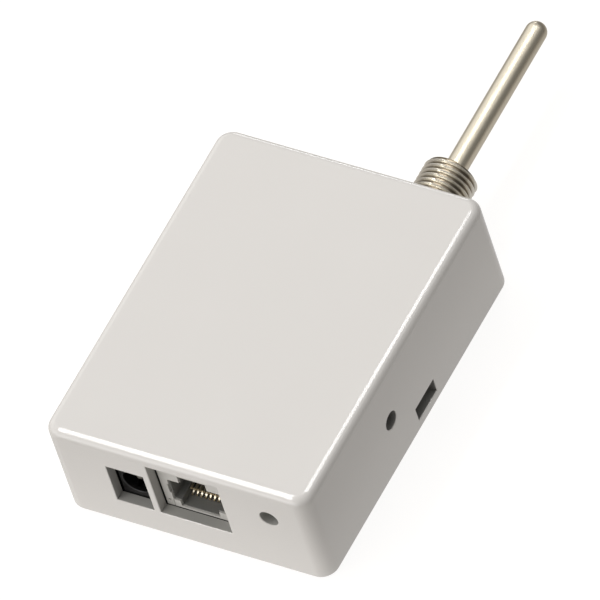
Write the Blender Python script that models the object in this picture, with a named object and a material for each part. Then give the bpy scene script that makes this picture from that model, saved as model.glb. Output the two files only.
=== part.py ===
"""Network temperature sensor: a small moulded case with a board, a network jack,
a power jack and a stainless probe in a threaded fitting. Metres, +Z up, +Y toward the probe."""

import math

import bmesh
import bpy
from mathutils import Matrix, Vector

# Case
WIDTH = 0.062
LENGTH = 0.082
HEIGHT = 0.0258
CORNER_RADIUS = 0.0037
TOP_FILLET = 0.0020
RIM_ROUND = 0.0005
WALL = 0.0024
CAVITY_FILLET = 0.0008
BASE_THICKNESS = 0.0020
CORNER_STEPS = 6

# Clearances
SEAT_GAP = 0.0003
PORT_GAP = 0.00035

# Corner screws and the posts that take them
POST_INSET = 0.0054
POST_RADIUS = 0.0024
POST_RIB = 0.0014
POST_BORE_DEPTH = 0.0080
CASE_SCREW_RADIUS = 0.0010
CASE_SCREW_HEAD_RADIUS = 0.0019
CASE_SCREW_HEAD_HEIGHT = 0.0011
CASE_SCREW_LENGTH = 0.0080
CASE_SCREW_SINK = 0.0002

# Circuit board and its screws
BOARD_TOP = 0.0074
BOARD_THICKNESS = 0.0016
BOARD_BACK_INSET = 0.0170
BOARD_CORNER = 0.0010
BOARD_SCREW_INSET = 0.0065
BOARD_SCREW_FRONT_INSET = 0.0135
BOARD_SCREW_BACK_INSET = 0.0045
BOARD_SCREW_RADIUS = 0.0010
BOARD_SCREW_HEAD_RADIUS = 0.0020
BOARD_SCREW_HEAD_HEIGHT = 0.0013
BOARD_SCREW_LENGTH = 0.0042
PILLAR_RADIUS = 0.0026
SCREW_SLOT_WIDTH = 0.0005
SCREW_SLOT_DEPTH = 0.0006
SCREW_SLOT_REACH = 0.55
DOME_SHARE = 0.6

# Ports across the front, which share the room between the left post and the lamp
PORT_BRIDGE = 0.0015
PORTS_SHARE = 0.40
POST_CLEARANCE = 0.0004

# Network jack
NETWORK_PORT_WIDTH = 0.0167
NETWORK_PORT_HEIGHT = 0.0157
NETWORK_JACK_DEPTH = 0.0210
MOUTH_WIDTH = 0.0122
MOUTH_HEIGHT = 0.0067
MOUTH_DEPTH = 0.0125
WINDOW_WIDTH = 0.0091
WINDOW_HEIGHT = 0.0017
WINDOW_FLOOR = 0.0004
LATCH_WIDTH = 0.0066
LATCH_HEIGHT = 0.0021
CONTACT_COUNT = 8
CONTACT_PITCH = 0.00102
CONTACT_WIDTH = 0.00050
CONTACT_THICKNESS = 0.00035
CONTACT_KNEE_DEPTH = 0.0019
CONTACT_BEND_RADIUS = 0.00095
CONTACT_RISE_ANGLE = math.radians(12)
CONTACT_LENGTH = 0.0078
CONTACT_TAIL_DEPTH = 0.0105
CONTACT_BEND_STEPS = 6
MOUTH_GROOVE_DEPTH = 0.00035
MOUTH_GROOVE_REACH = 0.0075
MOUTH_GROOVE_LOW = 0.0045
MOUTH_GROOVE_HIGH = 0.0016

# Power jack
POWER_PORT_WIDTH = 0.0088
POWER_PORT_HEIGHT = 0.0114
POWER_JACK_DEPTH = 0.0142
SOCKET_RADIUS = 0.0032
SOCKET_HEIGHT = 0.0045
SOCKET_DEPTH = 0.0098
POWER_PIN_RADIUS = 0.0010
POWER_PIN_LENGTH = 0.0086
SPRING_WIDTH = 0.0018
SPRING_LENGTH = 0.0070
SPRING_THICKNESS = 0.0003
SPRING_BEND = 0.0007
SPRING_SLOT_DEPTH = 0.0009
SPRING_FLAT = 0.3
SPRING_CREST = 0.7
SPRING_TIP_RISE = 0.4

# Data socket under the board, at the right-hand wall
DATA_Y = 0.0042
DATA_SLOT_WIDTH = 0.0081
DATA_SLOT_HEIGHT = 0.0038
DATA_SHELL_WIDTH = 0.0075
DATA_SHELL_HEIGHT = 0.0026
DATA_SHELL_DEPTH = 0.0052
DATA_SHELL_SHEET = 0.0003
DATA_SHELL_CHAMFER = 0.0009
TONGUE_WIDTH = 0.0040
TONGUE_THICKNESS = 0.0006
TONGUE_SETBACK = 0.0008

# Lamps behind the two round holes
LAMP_HOLE_RADIUS = 0.0021
LAMP_RADIUS = 0.0015
LAMP_LENGTH = 0.0050
LAMP_FLANGE_RADIUS = 0.0017
LAMP_FLANGE_LENGTH = 0.0008
LAMP_SETBACK = 0.0021
HOLDER_WIDTH = 0.0046
HOLDER_DEPTH = 0.0044
HOLDER_HEADROOM = 0.0027
HOLDER_SOCKET = 0.0016
STATUS_LAMP_HEIGHT = 0.0097
SIDE_LAMP_HEIGHT = 0.0052
SIDE_Y = -0.0079

# Pieces on the board
NETWORK_CHIP_SIZE = (0.0090, 0.0090, 0.0010)
CONTROLLER_SIZE = (0.0100, 0.0100, 0.0014)
CHIP_LEADS = 6
CHIP_LEAD_REACH = 0.0010
CHIP_LEAD_THICKNESS = 0.0002
CRYSTAL_SIZE = (0.0110, 0.0045, 0.0033)
INDUCTOR_SIZE = (0.0070, 0.0070, 0.0040)
REGULATOR_SIZE = (0.0065, 0.0035, 0.0016)
CAPACITOR_RADIUS = 0.0032
CAPACITOR_HEIGHT = 0.0077
CAPACITOR_GROOVE = 0.0003
CAPACITOR_WAIST = 0.16
CAPACITOR_WAIST_HALF = 0.04
INDUCTOR_CORNER = 0.0014

# Threaded fitting in the back wall
FITTING_REACH = 0.01155
THREAD_RADIUS = 0.0060
THREAD_PITCH = 0.00125
THREAD_DEPTH = 0.00070
THREAD_CREST = 0.00024
THREAD_ROOT = 0.00010
THREAD_STEPS = 24
THREAD_RUNOUT = 0.02
COLLAR_RADIUS = 0.0073
COLLAR_THICKNESS = 0.0012
GASKET_THICKNESS = 0.0008
FITTING_HOLE_GAP = 0.0003
NUT_ACROSS_FLATS = 0.0170
NUT_THICKNESS = 0.0040
NUT_CHAMFER_SHARE = 0.6
WASHER_THICKNESS = 0.0008
WASHER_RADIUS = 0.0082
SHANK_TAIL = 0.0008

# Probe
PROBE_RADIUS = 0.00238
PROBE_REACH = 0.04085
PROBE_WALL = 0.0005
PROBE_FLANGE_RADIUS = 0.0032
PROBE_FLANGE_THICKNESS = 0.0008
ELEMENT_RADIUS = 0.0013
ELEMENT_LENGTH = 0.0090
ELEMENT_SETBACK = 0.0010

# Lead from the probe to the board
WIRE_RADIUS = 0.0005
WIRE_SPREAD = 0.0007
WIRE_POINTS = 16
SOCKET_BLOCK_SIZE = (0.0080, 0.0062, 0.0062)
SOCKET_BLOCK_WALL = 0.0008
SOCKET_BLOCK_INSET = 0.0060
PLUG_LENGTH = 0.0052
PLUG_HOLE_DEPTH = 0.0015
PLUG_PITCH = 0.0025

# Worked out from the sizes above
HALF_WIDTH = WIDTH / 2
HALF_LENGTH = LENGTH / 2
ROOF = HEIGHT - WALL
BOARD_BOTTOM = BOARD_TOP - BOARD_THICKNESS
PORT_FACE = -HALF_LENGTH + WALL + SEAT_GAP
SIDE_FACE = HALF_WIDTH - WALL - SEAT_GAP
ON_BOARD = BOARD_TOP + SEAT_GAP
POST_X = HALF_WIDTH - POST_INSET
POST_Y = HALF_LENGTH - POST_INSET
POST_FOOT = BASE_THICKNESS + SEAT_GAP
PILLAR_TOP = BOARD_BOTTOM - SEAT_GAP
BOARD_SCREW_X = HALF_WIDTH - BOARD_SCREW_INSET
BOARD_BACK = HALF_LENGTH - BOARD_BACK_INSET
BOARD_SCREW_FRONT = -HALF_LENGTH + BOARD_SCREW_FRONT_INSET
BOARD_SCREW_BACK = BOARD_BACK - BOARD_SCREW_BACK_INSET
POST_REACH = POST_X - POST_RADIUS
STATUS_X = POST_REACH - POST_CLEARANCE - HOLDER_WIDTH / 2
STATUS_Z = BOARD_TOP + STATUS_LAMP_HEIGHT
SIDE_Z = BOARD_TOP + SIDE_LAMP_HEIGHT
PORTS_WIDTH = POWER_PORT_WIDTH + PORT_BRIDGE + NETWORK_PORT_WIDTH
PORTS_ROOM = STATUS_X - HOLDER_WIDTH / 2 + POST_REACH - PORTS_WIDTH
POWER_X = -POST_REACH + PORTS_SHARE * PORTS_ROOM + POWER_PORT_WIDTH / 2
NETWORK_X = POWER_X + (POWER_PORT_WIDTH + NETWORK_PORT_WIDTH) / 2 + PORT_BRIDGE
FITTING_X = POST_REACH - POST_CLEARANCE - NUT_ACROSS_FLATS / 2
FITTING_Z = HEIGHT / 2
SOCKET_BLOCK_Y = BOARD_BACK - SOCKET_BLOCK_INSET
PROBE_END = HALF_LENGTH + FITTING_REACH + PROBE_REACH
BORE_RADIUS = PROBE_RADIUS + SEAT_GAP
CORE_RADIUS = THREAD_RADIUS - THREAD_DEPTH
FITTING_HOLE_RADIUS = THREAD_RADIUS + FITTING_HOLE_GAP
SHANK_END = (HALF_LENGTH - WALL - SEAT_GAP - WASHER_THICKNESS - SEAT_GAP
             - NUT_THICKNESS - SHANK_TAIL)
PROBE_START = SHANK_END - SEAT_GAP - PROBE_FLANGE_THICKNESS

ALONG_Y = (-math.pi / 2, 0.0, 0.0)
FACING_FRONT = (math.pi / 2, 0.0, 0.0)
FACING_RIGHT = (0.0, math.pi / 2, 0.0)
OVERRUN = 0.001


def clear_scene():
    for existing in list(bpy.data.objects):
        bpy.data.objects.remove(existing)


def material(name, colour, roughness, metallic=0.0):
    finish = bpy.data.materials.new(name)
    finish.use_nodes = True
    surface = finish.node_tree.nodes["Principled BSDF"]
    surface.inputs["Base Color"].default_value = (*colour, 1.0)
    surface.inputs["Roughness"].default_value = roughness
    surface.inputs["Metallic"].default_value = metallic
    finish.diffuse_color = (*colour, 1.0)
    return finish


def add_object(name, bm, finish=None, location=(0.0, 0.0, 0.0), rotation=(0.0, 0.0, 0.0)):
    """Turn a bmesh into a named object, smooth on its round faces."""
    bmesh.ops.recalc_face_normals(bm, faces=bm.faces[:])
    mesh = bpy.data.meshes.new(name)
    bm.to_mesh(mesh)
    bm.free()
    piece = bpy.data.objects.new(name, mesh)
    piece.location = location
    piece.rotation_euler = rotation
    bpy.context.collection.objects.link(piece)
    if finish:
        mesh.materials.append(finish)
    soften(piece)
    return piece


def soften(piece):
    piece.data.shade_smooth()
    piece.data.set_sharp_from_angle(angle=math.radians(32))


def combine(target, tool, operation):
    """Apply one exact Boolean of tool on target, then remove the tool."""
    step = target.modifiers.new(operation.title(), "BOOLEAN")
    step.operation = operation
    step.object = tool
    step.solver = "EXACT"
    graph = bpy.context.evaluated_depsgraph_get()
    result = bpy.data.meshes.new_from_object(target.evaluated_get(graph))
    target.modifiers.clear()
    target.data = result
    bpy.data.objects.remove(tool)
    soften(target)


def cut(target, tool):
    combine(target, tool, "DIFFERENCE")


def fuse(target, tool):
    combine(target, tool, "UNION")


def box(low, high):
    """A block between two opposite corners."""
    size = Vector(high) - Vector(low)
    centre = (Vector(high) + Vector(low)) / 2
    bm = bmesh.new()
    bmesh.ops.create_cube(bm, size=1.0, matrix=Matrix.Translation(centre) @ Matrix.Diagonal((*size, 1.0)))
    return bm


def standing_box(x, y, z, size):
    """A block standing at height z, centred on x and y."""
    return box((x - size[0] / 2, y - size[1] / 2, z), (x + size[0] / 2, y + size[1] / 2, z + size[2]))


def prism(corners, sweep):
    """A solid swept from a flat outline along one vector."""
    bm = bmesh.new()
    face = bm.faces.new([bm.verts.new(corner) for corner in corners])
    grown = bmesh.ops.extrude_face_region(bm, geom=[face])
    moved = [item for item in grown["geom"] if isinstance(item, bmesh.types.BMVert)]
    bmesh.ops.translate(bm, verts=moved, vec=sweep)
    return bm


def turned(profile, sides):
    """A solid turned round Z from (radius, height) points; a zero radius closes it on the axis."""
    bm = bmesh.new()
    points = [bm.verts.new((radius, 0.0, height)) for radius, height in profile]
    closed = profile[0][0] > 0.0
    pairs = zip(points, points[1:] + points[:1]) if closed else zip(points, points[1:])
    edges = [bm.edges.new(pair) for pair in pairs]
    bmesh.ops.spin(bm, geom=points + edges, axis=(0, 0, 1), cent=(0, 0, 0),
                   steps=sides, angle=math.tau, use_merge=True, use_duplicate=False)
    bmesh.ops.remove_doubles(bm, verts=bm.verts[:], dist=1e-7)
    return bm


def rod(radius, low, high, sides=32):
    return turned([(0.0, low), (radius, low), (radius, high), (0.0, high)], sides)


def rounded_rectangle(width, length, radius, height, steps=CORNER_STEPS):
    """The outline of a rectangle with round corners, at one height."""
    points = []
    for corner, (sx, sy) in enumerate(((1, 1), (-1, 1), (-1, -1), (1, -1))):
        for step in range(steps + 1):
            angle = (corner + step / steps) * math.pi / 2
            points.append((sx * (width / 2 - radius) + radius * math.cos(angle),
                           sy * (length / 2 - radius) + radius * math.sin(angle), height))
    return points


def loft(rings):
    """A closed skin through rings of equally many points, capped at its first and last ring."""
    bm = bmesh.new()
    rows = [[bm.verts.new(point) for point in ring] for ring in rings]
    count = len(rows[0])
    for low, high in zip(rows, rows[1:]):
        for i in range(count):
            j = (i + 1) % count
            bm.faces.new((low[i], low[j], high[j], high[i]))
    bm.faces.new(list(reversed(rows[0])))
    bm.faces.new(rows[-1])
    return bm


def case_ring(inset, height):
    radius = max(CORNER_RADIUS - inset, SEAT_GAP)
    return rounded_rectangle(WIDTH - 2 * inset, LENGTH - 2 * inset, radius, height)


def corners_of(x, y):
    return [(sx * x, sy * y) for sy in (-1, 1) for sx in (-1, 1)]


def enclosure_cover(finish):
    """The moulded cover: roof and four walls with round edges, screw posts and port cut-outs."""
    quarter = [math.pi / 2 * step / 5 for step in range(6)]
    rings = [case_ring(WALL + CAVITY_FILLET, ROOF), case_ring(WALL, ROOF - CAVITY_FILLET),
             case_ring(WALL, 0.0)]
    rings += [case_ring(RIM_ROUND * (1 - math.sin(a)), RIM_ROUND * (1 - math.cos(a))) for a in quarter[::5]]
    rings += [case_ring(TOP_FILLET * (1 - math.cos(a)), HEIGHT - TOP_FILLET * (1 - math.sin(a)))
              for a in quarter]
    cover = add_object("enclosure_cover", loft(rings), finish)
    for x, y in corners_of(POST_X, POST_Y):
        fuse(cover, add_object("post", rod(POST_RADIUS, POST_FOOT, ROOF + WALL / 2, 20), location=(x, y, 0)))
        for rib in post_ribs(x, y):
            fuse(cover, rib)
    for x, y in corners_of(POST_X, POST_Y):
        bore = rod(CASE_SCREW_RADIUS + SEAT_GAP, 0.0, POST_FOOT + POST_BORE_DEPTH, 16)
        cut(cover, add_object("bore", bore, location=(x, y, 0)))
    for tool in port_cutters():
        cut(cover, tool)
    return cover


def post_ribs(x, y):
    """Two ribs that tie a screw post to the walls of its corner."""
    wall_x = math.copysign(HALF_WIDTH - WALL / 2, x)
    wall_y = math.copysign(HALF_LENGTH - WALL / 2, y)
    top = ROOF + WALL / 2
    spans = [(min(x, wall_x), max(x, wall_x), y - POST_RIB / 2, y + POST_RIB / 2),
             (x - POST_RIB / 2, x + POST_RIB / 2, min(y, wall_y), max(y, wall_y))]
    return [add_object("rib", box((x0, y0, POST_FOOT), (x1, y1, top))) for x0, x1, y0, y1 in spans]


def port_cutters():
    """Tools that open the two jack ports, the data slot, the lamp holes and the fitting hole."""
    front = -HALF_LENGTH - OVERRUN
    behind = -HALF_LENGTH + WALL + OVERRUN
    network = box((NETWORK_X - NETWORK_PORT_WIDTH / 2, front, BOARD_TOP),
                  (NETWORK_X + NETWORK_PORT_WIDTH / 2, behind, BOARD_TOP + NETWORK_PORT_HEIGHT))
    power = box((POWER_X - POWER_PORT_WIDTH / 2, front, BOARD_TOP),
                (POWER_X + POWER_PORT_WIDTH / 2, behind, BOARD_TOP + POWER_PORT_HEIGHT))
    slot_low = data_centre() - DATA_SLOT_HEIGHT / 2
    data = box((HALF_WIDTH - WALL - OVERRUN, DATA_Y - DATA_SLOT_WIDTH / 2, slot_low),
               (HALF_WIDTH + OVERRUN, DATA_Y + DATA_SLOT_WIDTH / 2, slot_low + DATA_SLOT_HEIGHT))
    hole = (LAMP_HOLE_RADIUS, -OVERRUN, WALL + OVERRUN, 32)
    return [
        add_object("network_port", network),
        add_object("power_port", power),
        add_object("data_slot", data),
        add_object("status_hole", rod(*hole), location=(STATUS_X, -HALF_LENGTH, STATUS_Z), rotation=ALONG_Y),
        add_object("side_hole", rod(*hole), location=(HALF_WIDTH - WALL, SIDE_Y, SIDE_Z),
                   rotation=FACING_RIGHT),
        add_object("fitting_hole", rod(FITTING_HOLE_RADIUS, -WALL - OVERRUN, OVERRUN, 48),
                   location=(FITTING_X, HALF_LENGTH, FITTING_Z), rotation=ALONG_Y),
    ]


def data_centre():
    return BOARD_BOTTOM - SEAT_GAP - DATA_SHELL_HEIGHT / 2


def enclosure_base(finish):
    """The plate let into the underside, with countersunk screw holes and pillars for the board."""
    inset = WALL + SEAT_GAP
    plate = loft([case_ring(inset, 0.0), case_ring(inset, BASE_THICKNESS)])
    base = add_object("enclosure_base", plate, finish)
    for x, y in corners_of(POST_X, POST_Y):
        head = CASE_SCREW_HEAD_RADIUS + SEAT_GAP
        shank = CASE_SCREW_RADIUS + SEAT_GAP
        cone_top = CASE_SCREW_SINK + CASE_SCREW_HEAD_HEIGHT
        profile = [(0.0, -OVERRUN), (head, -OVERRUN), (head, CASE_SCREW_SINK), (shank, cone_top),
                   (shank, BASE_THICKNESS + OVERRUN), (0.0, BASE_THICKNESS + OVERRUN)]
        cut(base, add_object("countersink", turned(profile, 24), location=(x, y, 0)))
    for x, y in board_screw_places():
        pillar = rod(PILLAR_RADIUS, BASE_THICKNESS / 2, PILLAR_TOP, 16)
        fuse(base, add_object("pillar", pillar, location=(x, y, 0)))
        bore = rod(BOARD_SCREW_RADIUS + SEAT_GAP, BASE_THICKNESS, PILLAR_TOP + OVERRUN, 12)
        cut(base, add_object("pillar_bore", bore, location=(x, y, 0)))
    return base


def board_screw_places():
    return [(sx * BOARD_SCREW_X, y) for y in (BOARD_SCREW_FRONT, BOARD_SCREW_BACK) for sx in (-1, 1)]


def cut_cross(screw, x, y, low, high, reach):
    """A cross recess in a screw head."""
    for half_x, half_y in ((reach, SCREW_SLOT_WIDTH / 2), (SCREW_SLOT_WIDTH / 2, reach)):
        cut(screw, add_object("slot", box((x - half_x, y - half_y, low), (x + half_x, y + half_y, high))))


def base_screws(finish):
    """Four countersunk screws that hold the plate to the cover's posts."""
    low = CASE_SCREW_SINK
    neck = low + CASE_SCREW_HEAD_HEIGHT
    tip = low + CASE_SCREW_LENGTH
    profile = [(0.0, low), (CASE_SCREW_HEAD_RADIUS, low), (CASE_SCREW_RADIUS, neck),
               (CASE_SCREW_RADIUS, tip - CASE_SCREW_RADIUS), (0.0, tip)]
    for number, (x, y) in enumerate(corners_of(POST_X, POST_Y), 1):
        screw = add_object(f"base_screw_{number}", turned(profile, 20), finish, location=(x, y, 0))
        cut_cross(screw, x, y, low - OVERRUN, low + SCREW_SLOT_DEPTH,
                  CASE_SCREW_HEAD_RADIUS * SCREW_SLOT_REACH)


def board_screws(finish):
    """Four round-headed screws through the board into the base's pillars."""
    seat = ON_BOARD
    top = seat + BOARD_SCREW_HEAD_HEIGHT
    tip = seat - BOARD_SCREW_LENGTH
    dome_height = BOARD_SCREW_HEAD_HEIGHT * DOME_SHARE
    dome = [(BOARD_SCREW_HEAD_RADIUS * math.cos(a), top - dome_height * (1 - math.sin(a)))
            for a in (0.0, math.pi / 6, math.pi / 3)]
    profile = [(0.0, tip), (BOARD_SCREW_RADIUS, tip), (BOARD_SCREW_RADIUS, seat),
               (BOARD_SCREW_HEAD_RADIUS, seat), *dome, (0.0, top)]
    for number, (x, y) in enumerate(board_screw_places(), 1):
        screw = add_object(f"board_screw_{number}", turned(profile, 20), finish, location=(x, y, 0))
        cut_cross(screw, x, y, top - SCREW_SLOT_DEPTH, top + OVERRUN,
                  BOARD_SCREW_HEAD_RADIUS * SCREW_SLOT_REACH)


def circuit_board(finish):
    """The board, notched at its front corners round the cover's posts."""
    x = SIDE_FACE
    front = PORT_FACE
    notch_x = POST_X - POST_RADIUS - SEAT_GAP
    notch_y = -(POST_Y - POST_RADIUS - SEAT_GAP)
    outline = [(notch_x, front), (notch_x, notch_y), (x, notch_y), (x, BOARD_BACK - BOARD_CORNER),
               (x - BOARD_CORNER, BOARD_BACK)]
    outline += [(-px, py) for px, py in reversed(outline)]
    board = add_object("circuit_board", prism([(px, py, BOARD_BOTTOM) for px, py in outline],
                                              (0, 0, BOARD_THICKNESS)), finish)
    for px, py in board_screw_places():
        hole = rod(BOARD_SCREW_RADIUS + SEAT_GAP, BOARD_BOTTOM - OVERRUN, BOARD_TOP + OVERRUN, 16)
        cut(board, add_object("hole", hole, location=(px, py, 0)))
    return board


def ethernet_jack_body(finish):
    """The network jack's housing: an open mouth with side grooves, a latch slot and a contact window."""
    half = NETWORK_PORT_WIDTH / 2 - PORT_GAP
    top = BOARD_TOP + NETWORK_PORT_HEIGHT - PORT_GAP
    housing = box((NETWORK_X - half, PORT_FACE, ON_BOARD),
                  (NETWORK_X + half, PORT_FACE + NETWORK_JACK_DEPTH, top))
    body = add_object("ethernet_jack_body", housing, finish)
    floor = window_floor()
    shoulder = floor + WINDOW_HEIGHT
    roof = shoulder + MOUTH_HEIGHT
    right = [(WINDOW_WIDTH / 2, floor), (WINDOW_WIDTH / 2, shoulder), (MOUTH_WIDTH / 2, shoulder),
             (MOUTH_WIDTH / 2, roof), (LATCH_WIDTH / 2, roof), (LATCH_WIDTH / 2, roof + LATCH_HEIGHT)]
    outline = right + [(-x, z) for x, z in reversed(right)]
    mouth = prism([(NETWORK_X + x, PORT_FACE - OVERRUN, z) for x, z in outline],
                  (0, MOUTH_DEPTH + OVERRUN, 0))
    cut(body, add_object("mouth", mouth))
    reach = MOUTH_WIDTH / 2 + MOUTH_GROOVE_DEPTH
    groove = box((NETWORK_X - reach, PORT_FACE - OVERRUN, roof - MOUTH_GROOVE_LOW),
                 (NETWORK_X + reach, PORT_FACE + MOUTH_GROOVE_REACH, roof - MOUTH_GROOVE_HIGH))
    cut(body, add_object("mouth_groove", groove))
    return body


def window_floor():
    return ON_BOARD + WINDOW_FLOOR


def strip(path, thickness):
    """The outline of a bent strip: its path, offset to both sides by half the thickness."""
    left, right = [], []
    for i, point in enumerate(path):
        before = path[max(i - 1, 0)]
        after = path[min(i + 1, len(path) - 1)]
        along = (Vector(after) - Vector(before)).normalized()
        side = Vector((-along.y, along.x)) * thickness / 2
        left.append(Vector(point) + side)
        right.append(Vector(point) - side)
    return left + right[::-1]


def ethernet_contacts(finish):
    """Eight spring contacts that lie under the mouth, turn at its front and rise to the rear."""
    low = window_floor() + SEAT_GAP + CONTACT_THICKNESS / 2
    centre_y = PORT_FACE + CONTACT_KNEE_DEPTH + CONTACT_BEND_RADIUS
    centre_z = low + CONTACT_BEND_RADIUS
    path = [(PORT_FACE + CONTACT_TAIL_DEPTH, low)]
    for step in range(CONTACT_BEND_STEPS + 1):
        angle = -math.pi / 2 - (math.pi - CONTACT_RISE_ANGLE) * step / CONTACT_BEND_STEPS
        path.append((centre_y + CONTACT_BEND_RADIUS * math.cos(angle),
                     centre_z + CONTACT_BEND_RADIUS * math.sin(angle)))
    path.append((path[-1][0] + CONTACT_LENGTH * math.cos(CONTACT_RISE_ANGLE),
                 path[-1][1] + CONTACT_LENGTH * math.sin(CONTACT_RISE_ANGLE)))
    outline = strip(path, CONTACT_THICKNESS)
    for number in range(CONTACT_COUNT):
        x = NETWORK_X + (number - (CONTACT_COUNT - 1) / 2) * CONTACT_PITCH - CONTACT_WIDTH / 2
        solid = prism([(x, y, z) for y, z in outline], (CONTACT_WIDTH, 0, 0))
        add_object(f"ethernet_contact_{number + 1}", solid, finish)


def power_jack(housing_finish, metal_finish):
    """The power jack: a housing with a round socket, its centre pin and a side spring."""
    half = POWER_PORT_WIDTH / 2 - PORT_GAP
    top = BOARD_TOP + POWER_PORT_HEIGHT - PORT_GAP
    axis_z = ON_BOARD + SOCKET_HEIGHT
    housing = box((POWER_X - half, PORT_FACE, ON_BOARD), (POWER_X + half, PORT_FACE + POWER_JACK_DEPTH, top))
    body = add_object("power_jack_body", housing, housing_finish)
    socket = rod(SOCKET_RADIUS, -OVERRUN, SOCKET_DEPTH, 32)
    cut(body, add_object("socket", socket, location=(POWER_X, PORT_FACE, axis_z), rotation=ALONG_Y))
    slot_half = SPRING_WIDTH / 2 + SEAT_GAP
    slot_floor = axis_z - SOCKET_RADIUS - SPRING_SLOT_DEPTH
    slot = box((POWER_X - slot_half, PORT_FACE + OVERRUN, slot_floor),
               (POWER_X + slot_half, PORT_FACE + SOCKET_DEPTH, axis_z - SOCKET_RADIUS / 2))
    cut(body, add_object("spring_slot", slot))

    pin_start = SOCKET_DEPTH - SEAT_GAP
    pin_nose = pin_start - POWER_PIN_LENGTH
    profile = [(0.0, pin_start), (POWER_PIN_RADIUS, pin_start),
               (POWER_PIN_RADIUS, pin_nose + POWER_PIN_RADIUS)]
    profile += [(POWER_PIN_RADIUS * math.cos(a), pin_nose + POWER_PIN_RADIUS * (1 - math.sin(a)))
                for a in (math.pi / 6, math.pi / 3)]
    add_object("power_jack_pin", turned(profile + [(0.0, pin_nose)], 20), metal_finish,
               location=(POWER_X, PORT_FACE, axis_z), rotation=ALONG_Y)

    low = slot_floor + SEAT_GAP + SPRING_THICKNESS / 2
    end = PORT_FACE + SOCKET_DEPTH - SEAT_GAP
    path = [(end, low), (end - SPRING_LENGTH * SPRING_FLAT, low),
            (end - SPRING_LENGTH * SPRING_CREST, low + SPRING_BEND),
            (end - SPRING_LENGTH, low + SPRING_BEND * SPRING_TIP_RISE)]
    spring = prism([(POWER_X - SPRING_WIDTH / 2, y, z) for y, z in strip(path, SPRING_THICKNESS)],
                   (SPRING_WIDTH, 0, 0))
    add_object("power_jack_spring", spring, metal_finish)


def data_socket(shell_finish, tongue_finish):
    """The small data socket: a folded shell with two chamfered corners and a tongue."""
    def shell_outline(inset, x):
        half = DATA_SHELL_WIDTH / 2 - inset
        rise = DATA_SHELL_HEIGHT / 2 - inset
        nick = max(DATA_SHELL_CHAMFER - inset * 0.6, SEAT_GAP)
        flat = [(half, rise), (half, -rise + nick), (half - nick, -rise),
                (-half + nick, -rise), (-half, -rise + nick), (-half, rise)]
        return [(x, DATA_Y + y, data_centre() + z) for y, z in flat]

    shell = add_object("data_socket_shell", prism(shell_outline(0.0, SIDE_FACE), (-DATA_SHELL_DEPTH, 0, 0)),
                       shell_finish)
    hollow = prism(shell_outline(DATA_SHELL_SHEET, SIDE_FACE + OVERRUN),
                   (-DATA_SHELL_DEPTH - OVERRUN + DATA_SHELL_SHEET, 0, 0))
    cut(shell, add_object("shell_hollow", hollow))
    middle = data_centre() + TONGUE_THICKNESS / 2
    tongue = box((SIDE_FACE - DATA_SHELL_DEPTH + DATA_SHELL_SHEET + SEAT_GAP, DATA_Y - TONGUE_WIDTH / 2,
                  middle - TONGUE_THICKNESS / 2),
                 (SIDE_FACE - TONGUE_SETBACK, DATA_Y + TONGUE_WIDTH / 2, middle + TONGUE_THICKNESS / 2))
    add_object("data_socket_tongue", tongue, tongue_finish)


def lamp(name, place, rotation, outward, lens_finish, holder_finish):
    """A lamp with a domed lens in an upright holder; place is on the inner side of its hole."""
    flange_start = -LAMP_LENGTH
    dome = [(LAMP_RADIUS * math.cos(a), -LAMP_RADIUS + LAMP_RADIUS * math.sin(a))
            for a in (0.0, math.pi / 8, math.pi / 4, math.pi * 3 / 8)]
    profile = [(0.0, flange_start), (LAMP_FLANGE_RADIUS, flange_start),
               (LAMP_FLANGE_RADIUS, flange_start + LAMP_FLANGE_LENGTH),
               (LAMP_RADIUS, flange_start + LAMP_FLANGE_LENGTH), *dome, (0.0, 0.0)]
    add_object(name, turned(profile, 24), lens_finish, location=place, rotation=rotation)

    outward = Vector(outward)
    across = Vector((abs(outward.y), abs(outward.x), 0.0)) * HOLDER_WIDTH / 2
    front = Vector(place) - outward * (LAMP_LENGTH + SEAT_GAP - HOLDER_SOCKET)
    back = front - outward * HOLDER_DEPTH
    ends = (front - across, back + across, front + across, back - across)
    low = Vector((min(p.x for p in ends), min(p.y for p in ends), ON_BOARD))
    high = Vector((max(p.x for p in ends), max(p.y for p in ends), place[2] + HOLDER_HEADROOM))
    holder = add_object(name + "_holder", box(low, high), holder_finish)
    pocket = rod(LAMP_FLANGE_RADIUS + SEAT_GAP, -HOLDER_SOCKET, OVERRUN, 24)
    cut(holder, add_object("pocket", pocket, location=front, rotation=rotation))


def lamps(status_finish, side_finish, holder_finish):
    lamp("status_lamp", (STATUS_X, -HALF_LENGTH + LAMP_SETBACK, STATUS_Z), FACING_FRONT, (0, -1, 0),
         status_finish, holder_finish)
    lamp("side_lamp", (HALF_WIDTH - LAMP_SETBACK, SIDE_Y, SIDE_Z), FACING_RIGHT, (1, 0, 0),
         side_finish, holder_finish)


def leaded_chip(name, size, place, finish):
    """A flat chip with a row of leads along each side."""
    x, y = place
    chip = add_object(name, standing_box(x, y, ON_BOARD, size), finish)
    for side in range(4):
        along_x = side % 2 == 0
        sign = 1 if side < 2 else -1
        span = size[0] if along_x else size[1]
        reach = (size[1] if along_x else size[0]) / 2
        pitch = span / (CHIP_LEADS + 1)
        for number in range(CHIP_LEADS):
            offset = (number - (CHIP_LEADS - 1) / 2) * pitch
            middle = sign * (reach + CHIP_LEAD_REACH / 4)
            length = CHIP_LEAD_REACH * 1.5
            size_x, size_y = (pitch / 2, length) if along_x else (length, pitch / 2)
            at_x, at_y = (offset, middle) if along_x else (middle, offset)
            lead = standing_box(x + at_x, y + at_y, ON_BOARD + size[2] / 3,
                                (size_x, size_y, CHIP_LEAD_THICKNESS))
            fuse(chip, add_object("lead", lead))
    return chip


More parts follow.
